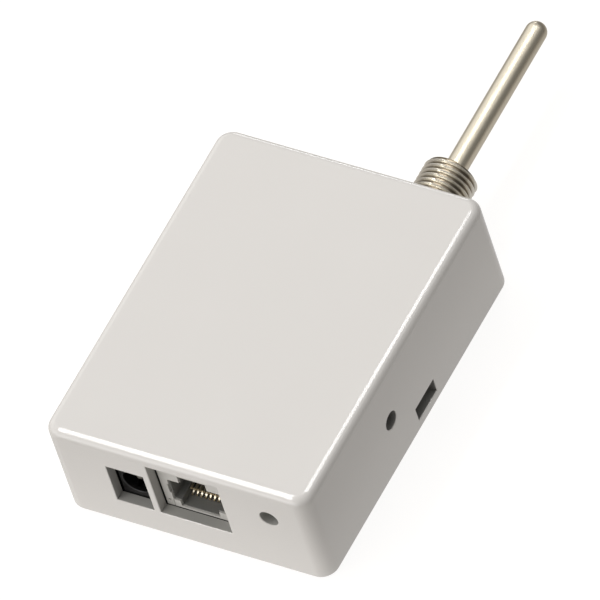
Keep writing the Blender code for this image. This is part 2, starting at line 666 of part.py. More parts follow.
def spaced(start, end, sizes):
    """Centres of pieces of these sizes, laid from start to end with equal gaps."""
    gap = (end - start - sum(sizes)) / (len(sizes) + 1)
    centres = []
    for size in sizes:
        start += gap + size / 2
        centres.append(start)
        start += size / 2
    return centres


def board_pieces(finishes):
    """Chips, crystal, coil, regulator and capacitors, in three columns behind the jacks."""
    lead = 2 * CHIP_LEAD_REACH
    column_sizes = (INDUCTOR_SIZE[0], CONTROLLER_SIZE[0] + lead, CRYSTAL_SIZE[0])
    lamp_back = HALF_WIDTH - LAMP_SETBACK - LAMP_LENGTH + HOLDER_SOCKET - HOLDER_DEPTH
    left, middle, right = spaced(-BOARD_SCREW_X + BOARD_SCREW_HEAD_RADIUS, lamp_back, column_sizes)
    behind_power = PORT_FACE + POWER_JACK_DEPTH
    behind_network = PORT_FACE + NETWORK_JACK_DEPTH
    header_front = SOCKET_BLOCK_Y - SOCKET_BLOCK_SIZE[1] / 2

    chip_y, controller_y = spaced(behind_network, BOARD_BACK,
                                  (NETWORK_CHIP_SIZE[1] + lead, CONTROLLER_SIZE[1] + lead))
    leaded_chip("network_chip", NETWORK_CHIP_SIZE, (middle, chip_y), finishes["chip"])
    leaded_chip("microcontroller", CONTROLLER_SIZE, (middle, controller_y), finishes["chip"])

    across = 2 * CAPACITOR_RADIUS
    coil_y, first_y, regulator_y, second_y = spaced(behind_power, BOARD_BACK,
                                                    (INDUCTOR_SIZE[1], across, REGULATOR_SIZE[1], across))
    regulator = standing_box(left, regulator_y, ON_BOARD, REGULATOR_SIZE)
    add_object("voltage_regulator", regulator, finishes["chip"])

    crystal_y, = spaced(behind_network, header_front, (CRYSTAL_SIZE[1],))
    can = rounded_rectangle(CRYSTAL_SIZE[0], CRYSTAL_SIZE[1], CRYSTAL_SIZE[1] / 2, 0.0)
    add_object("crystal", prism(can, (0, 0, CRYSTAL_SIZE[2])), finishes["plated"],
               location=(right, crystal_y, ON_BOARD))

    coil = rounded_rectangle(INDUCTOR_SIZE[0], INDUCTOR_SIZE[1], INDUCTOR_CORNER, 0.0)
    add_object("power_inductor", prism(coil, (0, 0, INDUCTOR_SIZE[2])), finishes["ferrite"],
               location=(left, coil_y, ON_BOARD))

    waist = CAPACITOR_RADIUS - CAPACITOR_GROOVE
    profile = [(0.0, 0.0), (CAPACITOR_RADIUS, 0.0),
               (CAPACITOR_RADIUS, CAPACITOR_HEIGHT * (CAPACITOR_WAIST - CAPACITOR_WAIST_HALF)),
               (waist, CAPACITOR_HEIGHT * CAPACITOR_WAIST),
               (CAPACITOR_RADIUS, CAPACITOR_HEIGHT * (CAPACITOR_WAIST + CAPACITOR_WAIST_HALF)),
               (CAPACITOR_RADIUS, CAPACITOR_HEIGHT - CAPACITOR_GROOVE), (waist, CAPACITOR_HEIGHT),
               (0.0, CAPACITOR_HEIGHT)]
    for number, y in enumerate((first_y, second_y), 1):
        add_object(f"filter_capacitor_{number}", turned(profile, 24), finishes["plated"],
                   location=(left, y, ON_BOARD))


def thread_ridge(start, end):
    """A V-section ridge wound round Z, sunk in the core and fading in and out over half a turn."""
    turns = (end - start) / THREAD_PITCH - 1
    steps = max(round(turns * THREAD_STEPS), THREAD_STEPS)
    half_base = (THREAD_PITCH - THREAD_ROOT) / 2
    sunk = CORE_RADIUS - THREAD_ROOT
    bm = bmesh.new()
    previous = None
    for step in range(steps + 1):
        turn = turns * step / steps
        angle = math.tau * turn
        height = start + THREAD_PITCH * (0.5 + turn)
        growth = min(1.0, 2 * turn + THREAD_RUNOUT, 2 * (turns - turn) + THREAD_RUNOUT)
        crest = sunk + (THREAD_RADIUS - sunk) * growth
        section = [(sunk, -half_base), (crest, -THREAD_CREST / 2), (crest, THREAD_CREST / 2),
                   (sunk, half_base)]
        row = [bm.verts.new((radius * math.cos(angle), radius * math.sin(angle), height + rise))
               for radius, rise in section]
        if previous:
            for i in range(4):
                j = (i + 1) % 4
                bm.faces.new((previous[i], previous[j], row[j], row[i]))
        else:
            bm.faces.new(row)
        previous = row
    bm.faces.new(previous[::-1])
    return bm


def probe_fitting(finish):
    """The turned fitting: a collar outside the wall, a threaded nose and a plain shank inside."""
    collar_back = GASKET_THICKNESS + 2 * SEAT_GAP
    collar_front = collar_back + COLLAR_THICKNESS
    chamfer = COLLAR_THICKNESS / 4
    tail = SHANK_END - HALF_LENGTH
    nose_round = THREAD_DEPTH / 2
    bore_mouth = BORE_RADIUS + SEAT_GAP
    profile = [
        (BORE_RADIUS, tail), (THREAD_RADIUS - SEAT_GAP, tail), (THREAD_RADIUS, tail + SEAT_GAP),
        (THREAD_RADIUS, collar_back), (COLLAR_RADIUS - chamfer, collar_back),
        (COLLAR_RADIUS, collar_back + chamfer), (COLLAR_RADIUS, collar_front - chamfer),
        (COLLAR_RADIUS - chamfer, collar_front), (CORE_RADIUS, collar_front),
        (CORE_RADIUS, FITTING_REACH - nose_round), (CORE_RADIUS - nose_round, FITTING_REACH),
        (bore_mouth, FITTING_REACH), (BORE_RADIUS, FITTING_REACH - SEAT_GAP),
    ]
    place = (FITTING_X, HALF_LENGTH, FITTING_Z)
    fitting = add_object("probe_fitting", turned(profile, 40), finish, location=place, rotation=ALONG_Y)
    ridge = thread_ridge(collar_front + THREAD_ROOT, FITTING_REACH - nose_round)
    fuse(fitting, add_object("ridge", ridge, location=place, rotation=ALONG_Y))
    return fitting


def ring(name, inner, outer, low, high, sides, finish):
    solid = turned([(inner, low), (outer, low), (outer, high), (inner, high)], sides)
    return add_object(name, solid, finish, location=(FITTING_X, HALF_LENGTH, FITTING_Z), rotation=ALONG_Y)


def fitting_hardware(finishes):
    """The gasket outside the wall, and the washer and nut inside it."""
    inner = THREAD_RADIUS + SEAT_GAP
    ring("fitting_gasket", inner, COLLAR_RADIUS, SEAT_GAP, SEAT_GAP + GASKET_THICKNESS, 40,
         finishes["rubber"])
    washer_out = -WALL - SEAT_GAP
    washer_in = washer_out - WASHER_THICKNESS
    ring("fitting_washer", inner, WASHER_RADIUS, washer_in, washer_out, 32, finishes["plated"])

    nut_out = washer_in - SEAT_GAP
    nut_in = nut_out - NUT_THICKNESS
    corner = NUT_ACROSS_FLATS / math.sqrt(3)
    edge = (corner - NUT_ACROSS_FLATS / 2) * NUT_CHAMFER_SHARE
    turns = [math.radians(90 + 60 * number) for number in range(6)]
    outline = [(corner * math.cos(turn), corner * math.sin(turn), nut_in) for turn in turns]
    place = (FITTING_X, HALF_LENGTH, FITTING_Z)
    nut = add_object("fitting_nut", prism(outline, (0, 0, NUT_THICKNESS)), finishes["plated"], place, ALONG_Y)
    blank = turned([(inner, nut_in - OVERRUN), (inner, nut_out + OVERRUN), (corner - edge, nut_out + OVERRUN),
                    (corner - edge, nut_out), (corner, nut_out - edge), (corner, nut_in + edge),
                    (corner - edge, nut_in), (corner - edge, nut_in - OVERRUN)], 36)
    combine(nut, add_object("nut_blank", blank, location=place, rotation=ALONG_Y), "INTERSECT")


def probe_sheath(finish):
    """The stainless tube: flanged inside the fitting, closed by a round end."""
    start = PROBE_START - HALF_LENGTH
    end = PROBE_END - HALF_LENGTH
    inner = PROBE_RADIUS - PROBE_WALL
    arc = [math.pi / 2 * step / 8 for step in range(8)]
    outside = [(PROBE_RADIUS * math.cos(a), end - PROBE_RADIUS * (1 - math.sin(a))) for a in arc]
    inside = [(inner * math.cos(a), end - PROBE_RADIUS + inner * math.sin(a)) for a in arc[::2]]
    seat = start + PROBE_FLANGE_THICKNESS
    profile = [(0.0, end - PROBE_WALL), *inside[::-1], (inner, start), (PROBE_FLANGE_RADIUS, start),
               (PROBE_FLANGE_RADIUS, seat), (PROBE_RADIUS, seat), *outside, (0.0, end)]
    add_object("probe_sheath", turned(profile, 32), finish,
               location=(FITTING_X, HALF_LENGTH, FITTING_Z), rotation=ALONG_Y)


def element_end():
    return PROBE_END - PROBE_WALL - ELEMENT_SETBACK


def sensor_element(finish):
    """The sensing element in the tip of the sheath."""
    nose = ELEMENT_RADIUS / 2
    profile = [(0.0, -ELEMENT_LENGTH), (ELEMENT_RADIUS, -ELEMENT_LENGTH), (ELEMENT_RADIUS, -nose),
               (ELEMENT_RADIUS - nose, 0.0), (0.0, 0.0)]
    add_object("sensor_element", turned(profile, 16), finish,
               location=(FITTING_X, element_end(), FITTING_Z), rotation=ALONG_Y)


def plug_back():
    return SOCKET_BLOCK_Y + SOCKET_BLOCK_SIZE[1] / 2 + PLUG_LENGTH / 2


def plug_height():
    return ON_BOARD + SOCKET_BLOCK_SIZE[2] / 2


def sensor_wires(finishes):
    """Two insulated wires from the element, back through the sheath and down to the plug."""
    enter = plug_back() - PLUG_HOLE_DEPTH + SEAT_GAP
    leave = PROBE_START
    for name, side in (("sensor_wire_red", -1), ("sensor_wire_white", 1)):
        points = []
        for step in range(WIRE_POINTS):
            share = step / (WIRE_POINTS - 1)
            ease = share * share * (3 - 2 * share)
            spread = PLUG_PITCH / 2 + (WIRE_SPREAD - PLUG_PITCH / 2) * ease
            height = plug_height() + (FITTING_Z - plug_height()) * ease
            points.append((FITTING_X + side * spread, enter + (leave - enter) * share, height))
        points.append((FITTING_X + side * WIRE_SPREAD, element_end() - ELEMENT_LENGTH - SEAT_GAP, FITTING_Z))
        curve = bpy.data.curves.new(name, "CURVE")
        curve.dimensions = "3D"
        curve.bevel_depth = WIRE_RADIUS
        curve.bevel_resolution = 2
        curve.render_resolution_u = 0
        curve.use_fill_caps = True
        spline = curve.splines.new("POLY")
        spline.points.add(len(points) - 1)
        for point, place in zip(spline.points, points):
            point.co = (*place, 1.0)
        curve.materials.append(finishes[name])
        bpy.context.collection.objects.link(bpy.data.objects.new(name, curve))


def probe_connector(finish, plug_finish):
    """A header on the board and the plug that brings the probe's wires to it."""
    size = SOCKET_BLOCK_SIZE
    header = add_object("probe_header", standing_box(FITTING_X, SOCKET_BLOCK_Y, ON_BOARD, size), finish)
    back = SOCKET_BLOCK_Y + size[1] / 2
    plug_half = size[0] / 2 - SOCKET_BLOCK_WALL - SEAT_GAP
    plug_rise = size[2] / 2 - SOCKET_BLOCK_WALL - SEAT_GAP
    plug_front = plug_back() - PLUG_LENGTH
    room, headroom = plug_half + SEAT_GAP, plug_rise + SEAT_GAP
    hollow = box((FITTING_X - room, plug_front - SEAT_GAP, plug_height() - headroom),
                 (FITTING_X + room, back + OVERRUN, plug_height() + headroom))
    cut(header, add_object("header_hollow", hollow))
    block = box((FITTING_X - plug_half, plug_front, plug_height() - plug_rise),
                (FITTING_X + plug_half, plug_back(), plug_height() + plug_rise))
    plug = add_object("probe_plug", block, plug_finish)
    for side in (-1, 1):
        hole = rod(WIRE_RADIUS + SEAT_GAP, -PLUG_HOLE_DEPTH, OVERRUN, 12)
        cut(plug, add_object("wire_hole", hole, rotation=ALONG_Y,
                             location=(FITTING_X + side * PLUG_PITCH / 2, plug_back(), plug_height())))


def finishes():
    """Colours as linear values, with each real finish's roughness."""
    return {
        "case": material("Warm white moulded case", (0.71, 0.69, 0.65), 0.45),
        "jack": material("Light grey jack housing", (0.50, 0.50, 0.47), 0.45),
        "black": material("Black moulded housing", (0.012, 0.012, 0.012), 0.4),
        "gold": material("Gold plated contact", (0.86, 0.66, 0.36), 0.25, 1.0),
        "plated": material("Nickel plated metal", (0.58, 0.56, 0.50), 0.3, 1.0),
        "fitting": material("Turned nickel fitting", (0.60, 0.56, 0.47), 0.28, 1.0),
        "stainless": material("Drawn stainless tube", (0.58, 0.55, 0.49), 0.32, 1.0),
        "board": material("Black board lacquer", (0.010, 0.012, 0.011), 0.35),
        "chip": material("Black chip resin", (0.015, 0.015, 0.016), 0.5),
        "ferrite": material("Grey ferrite", (0.05, 0.05, 0.05), 0.7),
        "rubber": material("Black rubber", (0.02, 0.02, 0.02), 0.8),
        "status_lens": material("Smoked lamp lens", (0.10, 0.14, 0.10), 0.2),
        "side_lens": material("Dark lamp lens", (0.04, 0.03, 0.03), 0.2),
        "header": material("Cream connector nylon", (0.72, 0.68, 0.58), 0.5),
        "element": material("Glazed sensing element", (0.30, 0.28, 0.25), 0.4),
        "sensor_wire_red": material("Red wire insulation", (0.45, 0.02, 0.02), 0.5),
        "sensor_wire_white": material("White wire insulation", (0.70, 0.70, 0.68), 0.5),
    }


def build():
    clear_scene()
    looks = finishes()
    enclosure_cover(looks["case"])
    enclosure_base(looks["case"])
    base_screws(looks["plated"])
    circuit_board(looks["board"])
    board_screws(looks["plated"])
    ethernet_jack_body(looks["jack"])
    ethernet_contacts(looks["gold"])
    power_jack(looks["black"], looks["plated"])
    data_socket(looks["plated"], looks["black"])
    lamps(looks["status_lens"], looks["side_lens"], looks["black"])
    board_pieces(looks)
    probe_fitting(looks["fitting"])
    fitting_hardware(looks)
    probe_sheath(looks["stainless"])
    sensor_element(looks["element"])
    sensor_wires(looks)
    probe_connector(looks["header"], looks["header"])

    stand = bpy.data.objects.new("temperature_sensor", None)
    bpy.context.collection.objects.link(stand)
    for piece in list(bpy.data.objects):
        if piece is not stand:
            piece.parent = stand


build()
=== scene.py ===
"""The looks of a network temperature sensor: a moulded case, its jacks, and a probe in a threaded fitting.

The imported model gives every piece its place. Lengths are in metres, with +Y toward the probe and +Z up.
"""

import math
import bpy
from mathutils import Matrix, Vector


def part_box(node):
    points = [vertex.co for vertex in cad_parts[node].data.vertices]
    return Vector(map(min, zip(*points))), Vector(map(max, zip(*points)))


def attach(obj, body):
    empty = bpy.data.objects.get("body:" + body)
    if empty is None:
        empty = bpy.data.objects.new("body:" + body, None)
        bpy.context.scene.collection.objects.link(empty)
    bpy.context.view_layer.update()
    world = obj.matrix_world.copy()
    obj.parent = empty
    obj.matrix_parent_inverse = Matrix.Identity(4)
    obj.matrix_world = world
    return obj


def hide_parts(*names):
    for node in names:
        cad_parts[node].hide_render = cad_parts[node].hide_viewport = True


bl_info = {
    "name": "Network temperature sensor",
    "version": (1, 0, 0),
    "blender": (4, 5, 0),
    "location": "3D View > Sidebar > Sensor",
    "description": "Models and finishes the pieces of a small network temperature sensor",
    "category": "Object",
}

import bmesh
import bpy
from mathutils import Euler, Matrix, Vector

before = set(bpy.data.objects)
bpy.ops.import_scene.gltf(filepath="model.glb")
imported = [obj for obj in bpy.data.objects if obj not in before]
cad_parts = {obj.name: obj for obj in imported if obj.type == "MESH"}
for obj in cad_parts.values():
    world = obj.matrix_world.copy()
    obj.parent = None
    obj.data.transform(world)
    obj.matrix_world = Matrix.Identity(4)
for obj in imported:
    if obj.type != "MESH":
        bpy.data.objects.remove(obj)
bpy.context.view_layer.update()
COVER_LOW, COVER_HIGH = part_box("enclosure_cover")
JACK_LOW, JACK_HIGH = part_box("ethernet_jack_body")
POWER_LOW, POWER_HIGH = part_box("power_jack_body")
PIN_LOW, PIN_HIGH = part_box("power_jack_pin")
SPRING_LOW, SPRING_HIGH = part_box("power_jack_spring")
CONTACT_LOW, CONTACT_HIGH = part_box("ethernet_contact_1")
STATUS_LOW, STATUS_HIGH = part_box("status_lamp")
SIDE_LOW, SIDE_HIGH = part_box("side_lamp")
FITTING_LOW, FITTING_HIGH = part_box("probe_fitting")
GASKET_LOW, GASKET_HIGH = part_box("fitting_gasket")
SHEATH_LOW, SHEATH_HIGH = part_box("probe_sheath")
DATA_LOW, DATA_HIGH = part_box("data_socket_shell")
BOARD_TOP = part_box("circuit_board")[1].z
MM = 0.001
# A cutting tool runs this far past the surface that it cuts.
OVERRUN = 1 * MM
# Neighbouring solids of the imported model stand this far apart.
GAP = 0.3 * MM


def linear(code):
    """A hex colour as linear red, green and blue."""
    channels = [int(code[i:i + 2], 16) / 255 for i in (1, 3, 5)]
    return tuple(c / 12.92 if c <= 0.04045 else ((c + 0.055) / 1.055) ** 2.4 for c in channels)


def amount(name, default, description, least=0.0, **kind):
    return bpy.props.FloatProperty(name=name, description=description, default=default, min=least, **kind)


def length(name, default, description):
    return amount(name, default, description, unit="LENGTH", subtype="DISTANCE", precision=5)


def angle(name, degrees, description):
    return amount(name, math.radians(degrees), description, least=-math.pi, subtype="ANGLE")


def colour(name, code, description):
    return bpy.props.FloatVectorProperty(name=name, description=description, default=linear(code),
                                         min=0.0, max=1.0, size=3, subtype="COLOR")


class CaseSettings(bpy.types.PropertyGroup):
    corner_radius: length("Corner radius", 3.7 * MM, "Radius of the four upright corners")
    roof_fillet: length("Roof fillet", 2.0 * MM, "Radius along the roof's edges")
    rim_round: length("Rim round", 0.5 * MM, "Radius along the lower rim")
    wall: length("Wall", 2.4 * MM, "Thickness of the moulded wall")
    port_edge: length("Port edge", 0.20 * MM, "Round on the edges of the cut-outs")
    port_gap: length("Port gap", 0.35 * MM, "Gap between a jack and its cut-out")
    # Deeper than this, a cut-out's faces take the painted shade.
    shade_start: length("Shade start", 0.19 * MM, "How far into a cut-out the painted shade starts")
    lamp_hole: length("Lamp hole", 2.1 * MM, "Radius of the two round holes")
    lens_radius: length("Lens radius", 1.5 * MM, "Radius of the lamp lenses behind those holes")
    lens_flange: length("Lens flange", 0.8 * MM, "Thickness of a lens's flange")
    slot_width: length("Slot width", 8.1 * MM, "Width of the data slot")
    slot_height: length("Slot height", 3.8 * MM, "Height of the data slot")
    fitting_hole: length("Fitting hole", 6.3 * MM, "Radius of the hole for the threaded fitting")
    plastic: colour("Case finish", "#DFDBD6", "Warm white of the painted case")
    # Painted shade: a grey that stands in for the shadow in the cut-outs and inside the case.
    moulding: colour("Moulding", "#A9A7A2", "Grey of the painted shade in the openings and inside")
    # Painted shade, darker: the shadow deep in the right-hand wall's slot and hole.
    shade: colour("Shade", "#807E7A", "Darker grey of the painted shade in the right-hand wall's openings")
    status_lens: colour("Status lens", "#8E9088", "Clear grey of the lens behind the front hole")
    side_lens: colour("Side lens", "#3A3936", "Smoky tone of the lens behind the right-hand hole")


class JackSettings(bpy.types.PropertyGroup):
    mouth_width: length("Mouth width", 12.2 * MM, "Width of the network plug's mouth")
    mouth_height: length("Mouth height", 6.7 * MM, "Height of the network plug's mouth")
    mouth_depth: length("Mouth depth", 12.5 * MM, "Depth of the network plug's mouth")
    window_width: length("Window width", 9.1 * MM, "Width of the contact window below the mouth")
    window_height: length("Window height", 1.7 * MM, "Height of the contact window")
    window_floor: length("Window floor", 0.4 * MM, "Thickness of the floor below the window")
    latch_width: length("Latch width", 6.6 * MM, "Width of the slot for the plug's latch")
    latch_height: length("Latch height", 2.1 * MM, "Height of the slot for the plug's latch")
    groove_width: length("Groove width", 0.7 * MM, "Width of the groove in each side of the mouth")
    groove_top: length("Groove top", 1.6 * MM, "From the mouth's roof down to the grooves")
    groove_foot: length("Groove foot", 4.5 * MM, "From the mouth's roof down to the grooves' lower ends")
    seam_width: length("Seam width", 0.14 * MM, "Width of the fine seams below the mouth's sides")
    seam_depth: length("Seam depth", 0.35 * MM, "Depth of those seams")
    mark_radius: length("Mark radius", 0.33 * MM, "Radius of the mark that the mould's pin leaves")
    mark_depth: length("Mark depth", 0.40 * MM, "Depth of that mark")
    face_round: length("Face round", 0.18 * MM, "Round on the edges of the network jack's face")
    lining: length("Lining", 0.22 * MM, "Wall of the carrier inside the network jack")
    contact_pitch: length("Contact pitch", 1.02 * MM, "Distance between the spring contacts")
    contact_thickness: length("Contact thickness", 0.35 * MM, "Thickness of a contact's wire")
    contact_bend: length("Contact bend", 0.95 * MM, "Radius at the middle of a contact's bend")
    contact_rise: angle("Contact rise", 12, "Slope of a contact toward the rear")
    contact_reach: length("Contact reach", 7.8 * MM, "Length of a contact's slope")
    seat: length("Seat", 0.15 * MM, "How far the jacks settle toward the board and the wall")
    socket_radius: length("Socket radius", 3.2 * MM, "Radius of the power plug's socket")
    socket_depth: length("Socket depth", 9.8 * MM, "Depth of the power plug's socket")
    socket_round: length("Socket round", 0.22 * MM, "Round on the edges of the power jack's face")
    housing: colour("Network housing", "#CAC7C1", "Light grey of the network jack")
    # Partly the carrier's own grey, partly painted shade in the mouth.
    insert: colour("Insert", "#7C7B77", "Dark grey of the carrier, partly painted shade in the network jack's mouth")
    power_housing: colour("Power housing", "#101010", "Black of the power jack")
    gold: colour("Contact gold", "#FBEFD6", "Gold on the spring contacts")


class ProbeSettings(bpy.types.PropertyGroup):
    crest_radius: length("Crest radius", 6.0 * MM, "Radius over the crests of the thread")
    thread_pitch: length("Thread pitch", 1.25 * MM, "Distance between the crests of the thread")
    thread_depth: length("Thread depth", 0.70 * MM, "Height of the thread's crests over its roots")
    crest_round: length("Crest round", 0.10 * MM, "Radius along the crests of the thread")
    nose_chamfer: length("Nose chamfer", 0.55 * MM, "Chamfer at the free end of the thread")
    collar_thickness: length("Collar thickness", 1.2 * MM, "Thickness of the collar on the wall")
    probe_radius: length("Probe radius", 2.38 * MM, "Radius of the probe's tube")
    nickel: colour("Fitting nickel", "#E6E1D6", "Warm nickel of the fitting")
    # Painted shade: the colour that the thread darkens to in its roots.
    root_shade: colour("Root shade", "#857B6B", "Painted shade in the roots of the thread")
    steel: colour("Probe steel", "#D5CCB9", "Stainless steel of the probe")


class StageSettings(bpy.types.PropertyGroup):
    azimuth: angle("Azimuth", 42.61, "Camera's turn to the right of the front")
    elevation: angle("Elevation", 50.66, "Camera's height over the horizon")
    roll: angle("Roll", -19.36, "Camera's turn about its own axis")
    distance: length("Distance", 4.2, "From the camera to the point that it looks at")
    lens: amount("Lens", 1233.8, "Focal length in millimetres")
    aim: bpy.props.FloatVectorProperty(name="Aim", description="Point at the middle of the picture",
                                       default=(1.48 * MM, 10.27 * MM, 18.17 * MM), subtype="TRANSLATION")
    room_light: amount("Room light", 0.18, "Radiance of the dim room")
    front_wall: amount("Front wall", 2.82, "Radiance that the wall before the object adds")
    right_wall: amount("Right wall", 0.09, "Radiance that the wall to the right adds")
    left_wall: amount("Left wall", 1.15, "Radiance that the wall to the left adds")
    ceiling: amount("Ceiling", 0.62, "Radiance that the pale ceiling adds")
    front_strip: amount("Front strip", 10.2, "Radiance of the strip that the roof's front edge mirrors")
    back_strip: amount("Back strip", 5.1, "Radiance of the strip that the roof's back edge mirrors")
    side_strip: amount("Side strip", 9.4, "Radiance of the strip that the roof's right-hand edge mirrors")
    side_glow: amount("Side glow", 1.0, "Radiance of the dim strip beside that one")
    floor_lift: amount("Floor lift", 0.86, "Light of the table as the camera sees it")
    floor_glow: amount("Floor glow", 0.49, "Light of the table near the object")
    glow_reach: length("Glow reach", 0.11, "How far from the object the table's light fades out")
    floor_tone: colour("Floor", "#85817C", "Paper on the lit table")


def deselect():
    bpy.ops.object.select_all(action="DESELECT")


def make_active(piece):
    deselect()
    piece.select_set(True)
    bpy.context.view_layer.objects.active = piece


def named(name):
    piece = bpy.context.object
    piece.name = piece.data.name = name
    return piece


def place_in_mesh(piece):
    """Put the piece's place into its mesh and leave its object at the origin."""
    make_active(piece)
    bpy.ops.object.transform_apply(location=True, rotation=True, scale=True)
    return piece


def block(name, low, high):
    """A cube primitive between two opposite corners."""
    low, high = Vector(low), Vector(high)
    deselect()
    bpy.ops.mesh.primitive_cube_add(size=1.0, location=(low + high) / 2, scale=high - low)
    return place_in_mesh(named(name))


def centre(low, high):
    """The middle of a box."""
    return [(a + b) / 2 for a, b in zip(low, high)]


# Where the probe's axis runs, parallel to Y.
PROBE_X, _, PROBE_Z = centre(GASKET_LOW, GASKET_HIGH)
# The turn that lays a cylinder's own axis, which is Z, along another one.
TURNS = {"X": (0.0, math.pi / 2, 0.0), "Y": (-math.pi / 2, 0.0, 0.0), "Z": (0.0, 0.0, 0.0)}


def rod(name, start, axis, reach, radius, sides=64, tip_radius=None):
    """A cylinder or cone primitive from a start point along an axis."""
    middle = Vector(start) + Euler(TURNS[axis]).to_matrix() @ Vector((0.0, 0.0, reach / 2))
    tip = radius if tip_radius is None else tip_radius
    deselect()
    bpy.ops.mesh.primitive_cone_add(vertices=sides, radius1=radius, radius2=tip, depth=reach,
                                    location=middle, rotation=TURNS[axis])
    return place_in_mesh(named(name))


def turned(name, start, end, radius, sides=128, tip_radius=None):
    """A rod on the probe's axis, between two places along it."""
    return rod(name, (PROBE_X, start, PROBE_Z), "Y", end - start, radius, sides, tip_radius)


def pick(piece, kind, test):
    """Enter edit mode with only the edges or faces that pass the test selected."""
    make_active(piece)
    bpy.ops.object.mode_set(mode="EDIT")
    bpy.ops.mesh.select_mode(type={"edges": "EDGE", "faces": "FACE"}[kind])
    bpy.ops.mesh.select_all(action="DESELECT")
    bm = bmesh.from_edit_mesh(piece.data)
    bm.normal_update()
    for item in getattr(bm, kind):
        if test(item):
            item.select_set(True)
    bm.select_flush_mode()
    bmesh.update_edit_mesh(piece.data)


def leave_edit():
    bpy.ops.object.mode_set(mode="OBJECT")


def round_edges(piece, test, width, segments):
    pick(piece, "edges", test)
    bpy.ops.mesh.bevel(offset=width, offset_type="OFFSET", segments=segments, profile=0.5, affect="EDGES",
                       clamp_overlap=True)
    leave_edit()


def lies_at(edge, axis, value, slack=0.01 * MM):
    return all(abs(vert.co[axis] - value) < slack for vert in edge.verts)


def upright(edge):
    a, b = (vert.co for vert in edge.verts)
    return abs(a.x - b.x) < 1e-6 and abs(a.y - b.y) < 1e-6


def is_corner(edge, least=math.radians(40)):
    return len(edge.link_faces) == 2 and edge.calc_face_angle() > least


def apply_modifier(piece, kind, **settings):
    make_active(piece)
    bpy.ops.object.modifier_add(type=kind)
    modifier = piece.modifiers[-1]
    for name, value in settings.items():
        setattr(modifier, name, value)
    bpy.ops.object.modifier_apply(modifier=modifier.name)


def combine(piece, tool, operation):
    apply_modifier(piece, "BOOLEAN", operation=operation, object=tool, solver="EXACT")
    bpy.data.objects.remove(tool)


def cut(piece, tool):
    combine(piece, tool, "DIFFERENCE")


def fuse(piece, tool):
    combine(piece, tool, "UNION")


def dress(piece, material, slot, *nodes, angle=30):
    """Shade a finished piece, give it its material, and set it on the frame."""
    make_active(piece)
    bpy.ops.object.shade_smooth_by_angle(angle=math.radians(angle))
    apply_modifier(piece, "WEIGHTED_NORMAL", keep_sharp=True, weight=100)
    piece.data.materials.clear()
    piece.data.materials.append(material)
    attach(piece, "root")
    if nodes:
        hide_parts(*nodes)


def copy_moved(piece, name, shift):
    """A copy with its own mesh, moved by a shift."""
    twin = piece.copy()
    twin.data = piece.data.copy()
    twin.name = twin.data.name = name
    twin.data.transform(Matrix.Translation(shift))
    bpy.context.collection.objects.link(twin)
    return twin


def dress_row(first, name, shifts, material, slot, node, angle=30):
    """Copy a piece once for each shift, and dress them all as the numbered nodes that they replace."""
    twins = [copy_moved(first, f"{name}_{number}", shift) for number, shift in enumerate(shifts, 2)]
    for number, piece in enumerate([first] + twins, 1):
        dress(piece, material, slot, f"{node}_{number}", angle=angle)


def feed(socket, value):
    """Link another node's output to a socket, or set the socket's own value."""
    if isinstance(value, bpy.types.NodeSocket):
        socket.id_data.links.new(value, socket)
    else:
        socket.default_value = value


def add_node(tree, kind, inputs, **settings):
    """Add a node, set its options, and feed its inputs with values and other nodes' outputs."""
    node = tree.nodes.new(kind)
    for name, value in settings.items():
        setattr(node, name, value)
    for name, value in inputs.items():
        feed(node.inputs[name], value)
    return node


def new_material(name):
    """A material with its nodes, its shader and the place on the piece, by object coordinates."""
    material = bpy.data.materials.new(name)
    material.use_nodes = True
    tree = material.node_tree
    place = add_node(tree, "ShaderNodeTexCoord", {}).outputs["Object"]
    return material, tree, tree.nodes["Principled BSDF"], place


def set_surface(surface, **inputs):
    for name, value in inputs.items():
        feed(surface.inputs[name.replace("_", " ")], value)


def work_surface(surface, tones, patches, gloss, marks, grain, bump, depth):
    """Let noise work a surface: patches mix its tones, marks vary its gloss, and a grain stands in relief.

    A noise's output mostly lies between 0.3 and 0.7.
    """
    tree = surface.id_data
    tone = add_node(tree, "ShaderNodeMix", {"Factor": patches.outputs["Fac"], "A": (*tones[0], 1.0),
                                            "B": (*tones[1], 1.0)}, data_type="RGBA")
    sheen = add_node(tree, "ShaderNodeMapRange", {"Value": marks.outputs["Fac"], "From Min": 0.3,
                                                  "From Max": 0.7, "To Min": gloss[0], "To Max": gloss[1]})
    relief = add_node(tree, "ShaderNodeBump", {"Height": grain.outputs["Fac"], "Strength": bump,
                                               "Distance": depth})
    set_surface(surface, Base_Color=tone.outputs["Result"], Roughness=sheen.outputs["Result"],
                Normal=relief.outputs["Normal"])


def moulded(name, base, roughness, grain, bump, mottle=0.02, ior=1.53):
    """An injection-moulded plastic: a faint sparked grain from the mould and a slight drift in gloss."""
    material, tree, surface, place = new_material(name)
    drift = add_node(tree, "ShaderNodeTexNoise", {"Vector": place, "Scale": 1 / (16.67 * MM), "Detail": 3.0})
    sparks = add_node(tree, "ShaderNodeTexNoise", {"Vector": place, "Scale": 1 / grain, "Detail": 2.0})
    work_surface(surface, ([c * (1 - mottle) for c in base], base), drift,
                 (roughness - 0.03, roughness + 0.03), drift, sparks, bump, 0.02 * MM)
    set_surface(surface, IOR=ior)
    return material


